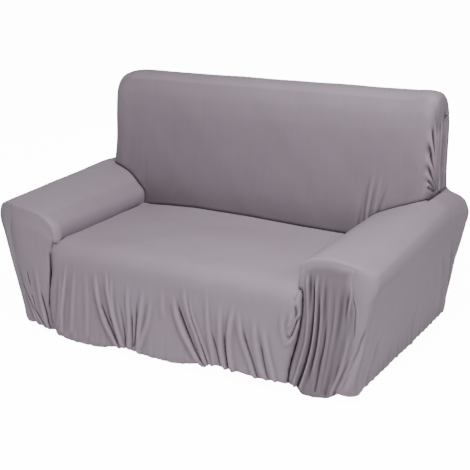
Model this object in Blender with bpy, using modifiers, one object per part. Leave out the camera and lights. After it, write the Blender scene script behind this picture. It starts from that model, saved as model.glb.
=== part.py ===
"""A fitted stretch slipcover for a two-seat sofa, hanging in the shape it takes on one.

Units are metres and +Z is up. The cover faces -Y, and its left and right are those of somebody
looking at its front. Six cut panels are sewn together: the back, the seat with its apron, two
arms and two arm fronts. Each panel is a grid that is laid between its seam lines, so neighbours
share one line, and each edge is turned in as a seam allowance. The origin is the point under the
top of the back where the cover hangs on the sofa.
"""

import math

import bmesh
import bpy
from mathutils import Vector

# ---------------------------------------------------------------- driving sizes

CLOTH = 0.0018          # thickness of the cloth
SEAM_GAP = 0.0004       # clear width between two sewn edges
ALLOWANCE = 0.010       # cloth turned in along each seam
HANG = Vector((0.0, 0.765, 0.903))      # the hanging point, from the middle of the front at floor level

INNER_ARM = 0.500       # half the width between the arms
BACK_HALF = {1: 0.705, -1: 0.697}       # half the width of the back, right and left
BACK_FILLET = 0.028     # rounding where the back turns onto its end faces
SEAT_LEVEL = 0.392      # top of the seat at its side edges
SEAT_CROWN = 0.010      # how far the seat rises in its middle
SEAM_DROP = 0.016       # how far the seat's side seams lie under its top
SEAT_ROLL = 0.052       # radius of the rounded front edge of the seat
APRON_FRONT = -0.026    # how far the apron stands in front of the arm fronts
SIDE_ROLL = 0.034       # width over which the seat rolls down to its side seams
ARM_FRONT_INSET = 0.016     # how far the front seam lies inside the arm's outline
HEM_RADIUS = 0.016      # the hem curls under on this radius
HEM_LEVEL = 0.022       # usual height of the hem's lowest line
SLIT = 0.0016           # widest opening of the dart seam on the ends of the back

# The back in section, from the crease at the seat over the top and down to the hem.
BACK_SECTION = (        # depth, height
    (0.568, 0.388),
    (0.592, 0.440),
    (0.622, 0.520),
    (0.646, 0.610),
    (0.657, 0.700),
    (0.664, 0.790),
    (0.680, 0.856),
    (0.716, 0.898),
    (0.766, 0.909),
    (0.818, 0.890),
    (0.850, 0.845),
    (0.864, 0.760),
    (0.868, 0.640),
    (0.874, 0.540),
    (0.890, 0.430),
    (0.904, 0.320),
    (0.913, 0.180),
    (0.918, HEM_LEVEL + HEM_RADIUS),
)
TOP_FRONT = 0.850       # height at which the front of the back starts to round over
TOP_REAR = 0.846        # height at which its outer side stops rounding
REAR_ARM_LEVEL = 0.534  # height of the arms where they meet the back's rear corner
DART_FOOT = 0.779       # depth of the dart seam where it meets the arm
DART_TIP = (0.786, 0.826)   # depth and height of the dart seam's upper end

# The arm's outline over its top, from the inner face to its widest line.
ARM_CROWN = {           # across, height at the front, height at the back's front face
    1: (
        (0.500, 0.424, 0.440),
        (0.507, 0.460, 0.462),
        (0.545, 0.488, 0.482),
        (0.600, 0.498, 0.504),
        (0.664, 0.495, 0.526),
        (0.700, 0.490, 0.540),
        (0.737, 0.479, 0.534),
        (0.766, 0.459, 0.510),
        (0.777, 0.424, 0.465),
    ),
    -1: (
        (0.500, 0.400, 0.402),
        (0.507, 0.436, 0.430),
        (0.545, 0.474, 0.462),
        (0.600, 0.494, 0.500),
        (0.664, 0.506, 0.524),
        (0.700, 0.511, 0.534),
        (0.742, 0.512, 0.536),
        (0.776, 0.494, 0.514),
        (0.788, 0.454, 0.468),
    ),
}
HEM_HALF = {1: 0.708, -1: 0.694}        # half width of the arms' hem
REAR_SEAM_HALF = 0.618  # half the width between the rear seams at the hem
SIDE_BOW = {1: -0.002, -1: -0.006}      # how far an arm's outer side bows out between top and hem
REAR_SPREAD = 0.011     # how much wider the arms are at the rear
REAR_CORNER = 0.022     # rounding of an arm's rear corner at its widest line
REAR_CORNER_HEM = 0.150     # rounding of that corner at the hem
REAR_CORNER_RATE = 1.2      # how soon, going down, that rounding reaches its full size
REAR_CORNER_SHARE = 0.8     # the most that it takes of the way in to the rear seam
TOP_CORNER_DROP = {1: 0.0, -1: 0.016}     # how far the top sinks at the ends of the back
TOP_CORNER_START = 0.560    # distance from the middle at which it starts to sink
TOP_CORNER_HEIGHT = 0.160   # height below the top over which it fades out
CROWN_RATE = 1.2        # how soon, going back, the seat's rise runs out
CROWN_FRONT = 0.12      # share of that rise already run through at the front edge
DECK_FALL = 4           # power of the deck's fall to the crease, all of it close to the crease
FOOT_FALL = 0.6         # share of the fall of an end's seam that lies in front of the dart
FRONT_ROUND = (0.020, 0.046)    # depth of the arm's rounded front, over its top and down its side
FRONT_FULLNESS = (0.56, 0.80)   # how square that rounding is, over its top and down its side

# The seam between an arm's front panel and the arm, below the dart's tip.
FRONT_SEAM = {          # across, height
    1: ((0.700, 0.462), (0.697, 0.413), (0.719, 0.337), (0.714, 0.237), (0.676, 0.119), (0.646, 0.042)),
    -1: ((0.706, 0.474), (0.716, 0.420), (0.713, 0.337), (0.702, 0.237), (0.668, 0.119), (0.640, 0.046)),
}

# The tuck between the apron and an arm's front panel, below the seat's front corner.
TUCK = {                # across, height
    1: ((0.521, 0.310), (0.503, 0.200), (0.476, 0.096), (0.468, 0.034)),
    -1: ((0.522, 0.290), (0.541, 0.170), (0.540, 0.096), (0.528, 0.034)),
}

# Folds of the apron, as ridges that run from under the seat's front edge to the hem.
APRON_FOLDS = (         # across at top, top height, across at hem, bow, half width, depth
    (-0.412, 0.326, -0.482, -0.010, 0.016, 0.014),
    (-0.351, 0.336, -0.446, -0.012, 0.018, 0.014),
    (-0.307, 0.330, -0.223, -0.030, 0.020, 0.020),
    (-0.253, 0.325, -0.205, -0.020, 0.016, 0.014),
    (-0.170, 0.320, -0.178, -0.008, 0.018, 0.017),
    (-0.095, 0.325, -0.140, 0.012, 0.018, 0.013),
    (-0.025, 0.320, 0.100, -0.016, 0.020, 0.018),
    (0.026, 0.320, 0.124, -0.014, 0.016, 0.013),
    (0.088, 0.310, 0.160, -0.012, 0.016, 0.012),
    (0.169, 0.325, 0.184, 0.006, 0.018, 0.014),
    (0.266, 0.310, 0.245, 0.008, 0.018, 0.017),
    (0.312, 0.340, 0.334, 0.006, 0.018, 0.012),
    (0.381, 0.326, 0.428, -0.008, 0.020, 0.016),
)
FOLD_FADE = 0.20        # height over which a fold grows to its full depth
VALLEY = 1.5            # half widths from a ridge to the foot of its slope
END_VALLEY = (0.4, 0.1)     # share of that slope left at the hem, beside the first and last ridge
PLAIN_GAP = 0.070       # two ridges further apart than this have flat cloth between them
LEAST_COLUMN = 0.004    # least width of a column

# How the apron's hem rises and falls.
HEM_SWING = (           # across, height of the lowest line
    (-0.530, 0.014),
    (-0.440, 0.000),
    (-0.310, 0.004),
    (-0.200, 0.026),
    (-0.090, 0.010),
    (0.030, 0.010),
    (0.110, 0.030),
    (0.190, 0.040),
    (0.280, 0.034),
    (0.370, 0.030),
    (0.440, 0.034),
    (0.530, 0.018),
)

# Gathers of the arms' front panels: every second column stands forward by its own depth.
FRONT_GATHERS = {       # depth of each ridge, from the tuck outward
    1: (0.006, 0.010, 0.007, 0.009, 0.005, 0.005, 0.006),
    -1: (0.004, 0.007, 0.009, 0.008, 0.005, 0.005, 0.005),
}
FRONT_SWELL = 0.010     # how far a front panel swells forward in its middle
SWELL_RATE = 5.0        # the swelling is full within this part of the way down from the arc
GATHER_RATE = 3.0       # the gathers are full within this part of that way
FRONT_SAG = {           # across as a share of the panel's width, fall of the hem below its seams
    1: ((0.0, 0.0), (0.15, -0.006), (0.28, 0.022), (0.5, 0.024), (0.8, 0.020), (1.0, 0.0)),
    -1: ((0.0, 0.0), (0.3, 0.004), (0.6, -0.002), (1.0, 0.0)),
}

CREASE_TURN = Vector((0.0, 0.45, -0.90)).normalized()       # into the cover along the crease
CORNER_TURN = Vector((0.30, 0.50, -0.81)).normalized()      # into the cover at the crease's ends
JERSEY = (0.30, 0.26, 0.29)         # colour of the cloth
GATHERED = (0.27, 0.235, 0.26)      # colour of its gathered panels
ROUGHNESS = 0.78

# ---------------------------------------------------------------- rows and columns

INNER_ROWS = 2          # rows up an arm's inner face
CROWN_INNER = 4         # rows of the arm's crown before the back's rounded corner
CROWN_OUTER = 3         # rows of the arm's crown beyond that corner
OUTER_BLEND = 3         # rows over which an arm's top turns into its outer side
REAR_SIDE_STEPS = 3     # columns of an arm past the back's front face, along its outer side
REAR_ARC_STEPS = 4      # columns of an arm round its rear corner
HEM_ROWS = 2            # rows round the curl of a hem
SIDE_ROWS = 8           # rows down an arm's outer side to the curl
APRON_ROWS = 9          # rows down the apron to the curl
FRONT_TURN = (0.0, 0.36, 0.64, 0.85, 1.0)       # steps round the arm's front edge
ARM_COLUMNS = 9         # columns along an arm, up to the back
FILLET_STEPS = 3        # columns round the ends of the back
END_STEPS = 3           # columns from the end's edge to its dart seam
LOWER_BACK_ROWS = 3     # rows of the back from the crease to the notch over the arm
CENTRE_COLUMNS = 6      # columns of the back from its middle to the arm
RISE_ROWS = 6           # rows up the inside back above the arms
ROLL_ROWS = 7           # rows over the top of the back
FALL_ROWS = 5           # rows down the outside back to the arms
DART_ROW = 11           # row whose end is the dart seam's tip
SIDE_ROLL_STEPS = 3     # columns of each side roll
FRONT_SPLIT = 2         # columns of a front panel for each row of the arm's crown

Z_UP = Vector((0.0, 0.0, 1.0))


# ---------------------------------------------------------------- curves

class Path:
    """A smooth plane curve through a few points, measured along its length."""

    STEPS = 24
    REACH = 0.004       # share of the length on each side over which a direction is taken

    def __init__(self, knots):
        knots = [Vector(knot) for knot in knots]
        first = knots[0] * 2 - knots[1]
        last = knots[-1] * 2 - knots[-2]
        padded = [first] + knots + [last]
        self.points = [knots[0]]
        for a, b, c, d in zip(padded, padded[1:], padded[2:], padded[3:]):
            for step in range(1, self.STEPS + 1):
                self.points.append(between_knots(a, b, c, d, step / self.STEPS))
        self.lengths = [0.0]
        for start, end in zip(self.points, self.points[1:]):
            self.lengths.append(self.lengths[-1] + (end - start).length)

    def at(self, share):
        """The point at this share of the length, from 0 to 1."""
        target = min(max(share, 0.0), 1.0) * self.lengths[-1]
        index = 0
        while index < len(self.points) - 2 and self.lengths[index + 1] < target:
            index += 1
        span = self.lengths[index + 1] - self.lengths[index]
        return self.points[index].lerp(self.points[index + 1], (target - self.lengths[index]) / span)

    def outward(self, share):
        """The unit normal on the left-hand side of the curve's direction."""
        along = (self.at(share + self.REACH) - self.at(share - self.REACH)).normalized()
        return Vector((-along.y, along.x))

    def share_at_height(self, height, falling=False):
        """The share of the length at which the curve passes this height."""
        pairs = list(zip(self.points, self.points[1:], self.lengths, self.lengths[1:]))
        for start, end, before, after in pairs:
            low, high = (end.y, start.y) if falling else (start.y, end.y)
            if low <= height <= high and high > low:
                part = (height - start.y) / (end.y - start.y)
                return (before + part * (after - before)) / self.lengths[-1]
        return 0.0


def between_knots(a, b, c, d, t):
    """A point of the smooth curve between b and c."""
    linear = (c - a) * 0.5
    square = a - b * 2.5 + c * 2.0 - d * 0.5
    cube = (d - a) * 0.5 + (b - c) * 1.5
    return b + linear * t + square * (t * t) + cube * (t * t * t)


def bezier(a, b, c, d, t):
    rest = 1.0 - t
    return a * rest ** 3 + b * (3 * t * rest ** 2) + c * (3 * t * t * rest) + d * t ** 3


def mix(a, b, share):
    return a + (b - a) * share


def table_value(table, key, column=1):
    """The value of a table's column at a key, straight between its rows."""
    if key <= table[0][0]:
        return table[0][column]
    for low, high in zip(table, table[1:]):
        if key <= high[0]:
            return mix(low[column], high[column], (key - low[0]) / (high[0] - low[0]))
    return table[-1][column]


def smooth_step(value):
    value = min(max(value, 0.0), 1.0)
    return value * value * (3.0 - 2.0 * value)


def curl(point, inward, step):
    """The hem's curl at a point of its start: down and in, on a quarter circle."""
    angle = math.radians(90.0) * step / HEM_ROWS
    return point + inward * (HEM_RADIUS * (1 - math.cos(angle))) - Z_UP * (HEM_RADIUS * math.sin(angle))


def curl_seam_direction(inward, step):
    """Into the cover, square to the curling hem."""
    angle = math.radians(90.0) * step / HEM_ROWS
    return inward * math.cos(angle) + Z_UP * math.sin(angle)


BACK = Path(BACK_SECTION)
CREASE = BACK.at(0.0)
BACK_TOP = max(height for depth, height in BACK_SECTION)
CORNER_SINK_FROM = BACK_TOP - TOP_CORNER_HEIGHT
FRONT_TOP_SHARE = BACK.share_at_height(TOP_FRONT)
REAR_TOP_SHARE = BACK.share_at_height(TOP_REAR, falling=True)
REAR_ARM_SHARE = BACK.share_at_height(REAR_ARM_LEVEL, falling=True)
NOTCH_ROW = INNER_ROWS + 1                      # arm row that meets the back's lower side corner
END_ROW = INNER_ROWS + CROWN_INNER + FILLET_STEPS       # arm row that runs along the back's end face
OUTER_START = END_ROW + CROWN_OUTER             # arm row at the widest line
LAST_ROW = OUTER_START + SIDE_ROWS + HEM_ROWS
TUCK_ROWS = APRON_ROWS + HEM_ROWS
TURN_STEPS = len(FRONT_TURN) - 1
BACK_COLUMN = TURN_STEPS + ARM_COLUMNS          # arm column that meets the back's front face
REAR_STEPS = 2 * END_STEPS + FILLET_STEPS       # arm columns from there to the rear seam
OVER_ARM = CROWN_INNER - 1                      # back columns over an arm, up to the rounded corner
UPPER_ROWS = RISE_ROWS + ROLL_ROWS + FALL_ROWS


def fillet_angle(step):
    return math.radians(90.0) * step / FILLET_STEPS


def back_corner(share, step, half):
    """A point round the end of the back, at a share of its section and its half width."""
    centre = BACK.at(share)
    normal = BACK.outward(share)
    angle = fillet_angle(step)
    flat = centre + normal * (BACK_FILLET * (math.cos(angle) - 1.0))
    return Vector((half - BACK_FILLET * (1.0 - math.sin(angle)), flat.x, flat.y))


# ---------------------------------------------------------------- shared seam lines

class SideLines:
    """The seam lines of one side, each as a list of points and directions into the cover.

    They are worked out on the right and mirrored by the side's sign.
    """

    def __init__(self, side):
        self.side = side
        self.back_half = BACK_HALF[side]
        self.crown = self.crown_points()
        self.section = self.section_at(0.0)
        self.rear_section = self.section_at(1.0)
        self.start_shares = [BACK.share_at_height(point.y) for point in self.rear_section[:END_ROW + 1]]
        self.front = self.front_line()
        self.junction = self.junction_line()
        self.end_face = self.end_face_line()
        self.rear = self.rear_line()
        self.tuck = self.tuck_line()

    def crown_points(self):
        """Across and both heights of each crown row, with rows on the back's rounded corner."""
        table = ARM_CROWN[self.side]
        across = [row[0] for row in table[:CROWN_INNER]]
        for step in range(FILLET_STEPS + 1):
            across.append(self.back_half - BACK_FILLET * (1.0 - math.sin(fillet_angle(step))))
        across += [row[0] for row in table[-CROWN_OUTER:]]
        return [Vector((x, table_value(table, x, 1), table_value(table, x, 2))) for x in across]

    def seat_seam_height(self, share):
        """Height of the seat's side seam, from the front (0) to the crease (1)."""
        return mix(SEAT_LEVEL - SEAM_DROP, CREASE.y, share)

    def outer_point(self, row, top):
        """A point of the outer side, from the widest line down to the start of the curl."""
        share = row / SIDE_ROWS
        hem = Vector((HEM_HALF[self.side], HEM_LEVEL + HEM_RADIUS))
        bow = Vector((SIDE_BOW[self.side] * 4.0 * share * (1.0 - share), 0.0))
        return top.lerp(hem, share) + bow

    def section_at(self, share):
        """The arm's section at the front (0) or the back (1) as (across, height), without the curl."""
        start = Vector((INNER_ARM, self.seat_seam_height(share)))
        crown = [Vector((point.x, mix(point.y, point.z, share))) for point in self.crown]
        points = [start.lerp(crown[0], row / INNER_ROWS) for row in range(INNER_ROWS)]
        points += crown
        points += [self.outer_point(row, crown[-1]) for row in range(1, SIDE_ROWS + 1)]
        for row in range(END_ROW + 1, len(points)):
            points[row].x += share * REAR_SPREAD * min((row - END_ROW) / OUTER_BLEND, 1.0)
        return points

    def front_line(self):
        """The seam round the arm's front panel: up the inside, under the arc and down."""
        into = Vector((0.0, 1.0, 0.0))
        line = []
        for row in range(END_ROW + 1):
            before = self.section[max(row - 1, 0)]
            after = self.section[row + 1]
            along = (after - before).normalized()
            flat = self.section[row] + Vector((along.y, -along.x)) * ARM_FRONT_INSET
            line.append((Vector((flat.x, 0.0, flat.y)), into))
        lower = Path([line[-1][0].xz] + list(FRONT_SEAM[self.side]))
        count = LAST_ROW - HEM_ROWS - END_ROW
        for row in range(1, count + 1):
            flat = lower.at(row / count)
            line.append((Vector((flat.x, 0.0, flat.y)), into))
        self.add_curl(line, into)
        line[0] = (line[0][0], Vector((0.0, 1.0, -1.0)).normalized())
        return line

    def add_curl(self, line, inward):
        start = line[-1][0]
        for step in range(1, HEM_ROWS + 1):
            line.append((curl(start, inward, step), curl_seam_direction(inward, step)))

    def junction_line(self):
        """The seam of the arm against the inside back, from the crease to the end face."""
        rear = self.rear_section
        line = []
        for row in range(END_ROW - FILLET_STEPS + 1):
            share = self.start_shares[row]
            depth = BACK.at(share).x
            along = (rear[row + 1] - rear[max(row - 1, 0)]).normalized()
            arm_normal = Vector((-along.y, 0.0, along.x))
            back_normal = BACK.outward(share)
            into = -(arm_normal + Vector((0.0, back_normal.x, back_normal.y))).normalized()
            line.append((Vector((rear[row].x, depth, rear[row].y)), into))
        for step in range(1, FILLET_STEPS + 1):
            angle = fillet_angle(step)
            back_normal = Vector((math.sin(angle), -math.cos(angle), 0.0))
            share = self.start_shares[END_ROW - FILLET_STEPS + step]
            corner = back_corner(share, step, self.back_half)
            line.append((corner, -(Z_UP + back_normal).normalized()))
        line[0] = (Vector((INNER_ARM, CREASE.x, CREASE.y)), CORNER_TURN)
        return line

    def end_face_line(self):
        """The seam along the back's end: past the dart's foot and round the rear corner."""
        start = self.junction[-1][0]
        rear_edge = back_corner(REAR_ARM_SHARE, FILLET_STEPS, self.back_half)
        foot = Vector((self.back_half, DART_FOOT, mix(start.z, rear_edge.z, FOOT_FALL)))
        into = -Vector((1.0, 0.0, 1.0)).normalized()
        line = [(start.lerp(foot, step / END_STEPS), into) for step in range(END_STEPS)]
        line += [(foot.lerp(rear_edge, step / END_STEPS), into) for step in range(END_STEPS)]
        for step in range(FILLET_STEPS, 0, -1):
            angle = fillet_angle(step)
            back_normal = Vector((math.sin(angle), math.cos(angle), 0.0))
            corner = back_corner(REAR_ARM_SHARE, step, self.back_half)
            line.append((corner, -(Z_UP + back_normal).normalized()))
        return line

    def rear_line(self):
        """The vertical seam on the outside back, from the arm's top to the hem."""
        into = Vector((0.0, -1.0, 0.0))
        count = LAST_ROW - HEM_ROWS - END_ROW
        line = []
        for row in range(count + 1):
            flat = BACK.at(mix(REAR_ARM_SHARE, 1.0, row / count))
            across = mix(self.back_half - BACK_FILLET, REAR_SEAM_HALF, row / count)
            line.append((Vector((across, flat.x, flat.y)), into))
        self.add_curl(line, into)
        line[0] = (line[0][0], Vector((0.0, -1.0, -1.0)).normalized())
        return line

    def tuck_line(self):
        """The seam between the apron and the arm's front panel, from the seat to the hem."""
        into = Vector((0.0, 1.0, 0.0))
        corner, corner_into = self.front[0]
        path = Path([corner.xz] + list(TUCK[self.side]))
        line = [(corner, corner_into)]
        for row in range(1, APRON_ROWS + 1):
            flat = path.at(row / APRON_ROWS)
            line.append((Vector((flat.x, 0.0, flat.y)), into))
        self.add_curl(line, into)
        return line

    def dart_point(self, row):
        """A point of the dart seam: up its front edge to the tip and down its rear edge."""
        foot = self.end_face[END_STEPS][0]
        tip = Vector((self.back_half, DART_TIP[0], DART_TIP[1]))
        if row <= DART_ROW:
            share = row / DART_ROW
            sign = -1.0
        else:
            share = (UPPER_ROWS - row) / (UPPER_ROWS - DART_ROW)
            sign = 1.0
        width = SLIT * 0.5 * math.sin(math.pi * share ** 0.5) if share < 1.0 else 0.0
        return foot.lerp(tip, share) + Vector((0.0, sign * width, 0.0))

    def arm_row(self, row):
        """One lengthwise row of the arm, from its front seam to its rear end."""
        start = self.front[row][0]
        flat_row = min(row, LAST_ROW - HEM_ROWS)
        flat = self.section[flat_row]
        outer_share = smooth_step((row - END_ROW) / OUTER_BLEND)
        edge = Vector((flat.x, mix(*FRONT_ROUND, outer_share), flat.y))
        if row > flat_row:
            edge = curl(edge, Vector((-1.0, 0.0, 0.0)), row - flat_row)
        reach = mix(*FRONT_FULLNESS, outer_share)
        toward = Vector((edge.x, start.y, edge.z))
        near = start.lerp(toward, reach)
        far = edge.lerp(toward, reach)
        points = [bezier(start, near, far, edge, t) for t in FRONT_TURN]
        if row <= END_ROW:
            end = self.junction[row][0]
        else:
            end = self.side_point(row)
        for step in range(1, ARM_COLUMNS + 1):
            points.append(edge.lerp(end, step / ARM_COLUMNS))
        if row == END_ROW:
            points += [point for point, into in self.end_face[1:]]
            points.append(self.rear[0][0])
        elif row > END_ROW:
            points += self.rear_turn(row, end)
        return points

    def side_point(self, row):
        """The point of an outer row beside the back's front face."""
        flat_row = min(row, LAST_ROW - HEM_ROWS)
        flat = self.rear_section[flat_row]
        point = Vector((flat.x, self.junction[END_ROW][0].y, flat.y))
        if row > flat_row:
            point = curl(point, Vector((-1.0, 0.0, 0.0)), row - flat_row)
        return point

    def rear_turn(self, row, start):
        """The rest of an outer row: back, round the rear corner and in to the rear seam."""
        end = self.rear[row - END_ROW][0]
        low = max(row - OUTER_START, 0) / (LAST_ROW - OUTER_START)
        radius = mix(REAR_CORNER, REAR_CORNER_HEM, smooth_step(low * REAR_CORNER_RATE))
        radius = min(radius, REAR_CORNER_SHARE * (start.x - end.x))
        places = [Vector((start.x, mix(start.y, end.y - radius, step / REAR_SIDE_STEPS)))
                  for step in range(1, REAR_SIDE_STEPS + 1)]
        for step in range(1, REAR_ARC_STEPS + 1):
            angle = math.radians(90.0) * step / REAR_ARC_STEPS
            round_x = start.x - radius * (1.0 - math.cos(angle))
            places.append(Vector((round_x, end.y - radius * (1.0 - math.sin(angle)))))
        straight = REAR_STEPS - REAR_SIDE_STEPS - REAR_ARC_STEPS
        for step in range(1, straight + 1):
            places.append(Vector((mix(start.x - radius, end.x, step / straight), end.y)))
        points = []
        for index, flat in enumerate(places):
            points.append(Vector((flat.x, flat.y, mix(start.z, end.z, (index + 1) / REAR_STEPS))))
        return points


LINES = {side: SideLines(side) for side in (1, -1)}


def mirrored(vector, side):
    return Vector((vector.x * side, vector.y, vector.z))


# ---------------------------------------------------------------- panels

class Panel:
    """A grid of cloth: where each grid point lies, which cells exist and where its edges turn in."""

    columns = 0
    rows = 0
    flipped = False

    def place(self, column, row):
        raise NotImplementedError

    def has_cell(self, column, row):
        return True

    def seam_direction(self, column, row):
        """Into the cover at a seam point."""
        raise NotImplementedError

    def is_hem(self, column, row):
        raise NotImplementedError

    def is_free(self, start, end):
        """Whether the edge between two border points is left without a seam."""
        return self.is_hem(*start) and self.is_hem(*end)


def fold_columns():
    """Across at the top, across at the hem and bow of each column of the seat.

    Every ridge has a column of its own, with one or two columns in the valley to the next.
    """
    paths = [(ridge[0], ridge[2], ridge[3]) for ridge in APRON_FOLDS]
    first, last = paths[0], paths[-1]
    slope = VALLEY * APRON_FOLDS[0][4]
    before = (first[0] - slope, first[1] - slope * END_VALLEY[0], 0.0)
    after = (last[0] + slope, last[1] + slope * END_VALLEY[1], 0.0)
    columns = [before]
    for low, high, low_path, high_path in zip(APRON_FOLDS, APRON_FOLDS[1:], paths, paths[1:]):
        columns.append(low_path)
        if high[0] - low[0] > PLAIN_GAP:
            slope = VALLEY * low[4]
            columns.append((low[0] + slope, low[2] + slope, low[3]))
            slope = VALLEY * high[4]
            columns.append((high[0] - slope, high[2] - slope, high[3]))
        else:
            columns.append(tuple(mix(a, b, 0.5) for a, b in zip(low_path, high_path)))
    return columns + [last, after]


FOLD_COLUMNS = fold_columns()
SEAT_CENTRE = len(FOLD_COLUMNS) + 1


class SeatPanel(Panel):
    """The seat deck, its rounded front edge and the apron. Rows run from the hem to the crease."""

    columns = SEAT_CENTRE + 2 * SIDE_ROLL_STEPS
    rows = TUCK_ROWS + BACK_COLUMN

    def row_places(self, row, start, end):
        """Where the columns between the side rolls lie across a row."""
        share = min(max((TUCK_ROWS - row) / APRON_ROWS, 0.0), 1.0)
        places = [start]
        for top_x, hem_x, bow in FOLD_COLUMNS:
            wanted = mix(top_x, hem_x, share) + bow * 4.0 * share * (1.0 - share)
            places.append(max(wanted, places[-1] + LEAST_COLUMN))
        places.append(end)
        for index in range(len(places) - 2, 0, -1):
            places[index] = min(places[index], places[index + 1] - LEAST_COLUMN)
        return places

    def side_point(self, side, row):
        if row <= TUCK_ROWS:
            return LINES[side].tuck[TUCK_ROWS - row]
        column = row - TUCK_ROWS
        point = LINES[side].arm_row(0)[column]
        if column == BACK_COLUMN:
            return point, LINES[side].junction[0][1]
        corner = LINES[side].front[0][1]
        return point, corner.lerp(-Z_UP, min(column / TURN_STEPS, 1.0)).normalized()

    def profile(self, across, row):
        """Depth and height over the width of the seat, away from its side rolls."""
        bulge = SEAT_CROWN * (1.0 - (across / INNER_ARM) ** 2)
        roll_depth = APRON_FRONT + SEAT_ROLL
        if row > TUCK_ROWS + TURN_STEPS:
            share = (row - TUCK_ROWS - TURN_STEPS) / ARM_COLUMNS
            rise = bulge * math.sin(math.pi * min(share * CROWN_RATE + CROWN_FRONT, 1.0))
            height = mix(SEAT_LEVEL, CREASE.y, share ** DECK_FALL) + rise
            return Vector((across, mix(roll_depth, CREASE.x, share), height))
        rise = bulge * math.sin(math.pi * CROWN_FRONT)
        if row >= TUCK_ROWS:
            angle = math.radians(90.0) * (row - TUCK_ROWS) / TURN_STEPS
            depth = roll_depth - SEAT_ROLL * math.cos(angle)
            return Vector((across, depth, SEAT_LEVEL + rise - SEAT_ROLL * (1.0 - math.sin(angle))))
        top = SEAT_LEVEL + rise - SEAT_ROLL
        hem = table_value(HEM_SWING, across) + HEM_RADIUS
        share = min((TUCK_ROWS - row) / APRON_ROWS, 1.0)
        height = mix(top, hem, share)
        point = Vector((across, APRON_FRONT - self.fold_depth(across, height, hem), height))
        if row < HEM_ROWS:
            point = curl(point, Vector((0.0, 1.0, 0.0)), HEM_ROWS - row)
        return point

    def fold_depth(self, across, height, hem):
        """How far the folds push the apron forward at a point."""
        total = 0.0
        for top_x, top_z, hem_x, bow, half_width, depth in APRON_FOLDS:
            share = (top_z - height) / (top_z - hem)
            if share > 0.0:
                centre = mix(top_x, hem_x, share) + bow * 4.0 * share * (1.0 - share)
                grow = smooth_step((top_z - height) / FOLD_FADE)
                total += depth * grow * math.exp(-((across - centre) / half_width) ** 2)
        return total

    def place(self, column, row):
        side = 1 if column > self.columns / 2 else -1
        step = min(column, self.columns - column)
        edge, into = self.side_point(side, row)
        if step >= SIDE_ROLL_STEPS:
            left, right = (s * (self.side_point(s, row)[0].x - SIDE_ROLL) for s in (-1, 1))
            return self.profile(self.row_places(row, left, right)[column - SIDE_ROLL_STEPS], row)
        edge = mirrored(edge, side)
        start = self.profile(edge.x - side * SIDE_ROLL, row)
        angle = math.radians(90.0) * (SIDE_ROLL_STEPS - step) / SIDE_ROLL_STEPS
        if row == self.rows:
            return start.lerp(edge, (SIDE_ROLL_STEPS - step) / SIDE_ROLL_STEPS)
        return Vector((
            mix(start.x, edge.x, math.sin(angle)),
            mix(start.y, edge.y, 1.0 - math.cos(angle)),
            mix(start.z, edge.z, 1.0 - math.cos(angle)),
        ))

    def seam_direction(self, column, row):
        if column in (0, self.columns):
            side = 1 if column else -1
            return mirrored(self.side_point(side, row)[1], side)
        return CREASE_TURN

    def is_hem(self, column, row):
        return row == 0


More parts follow.
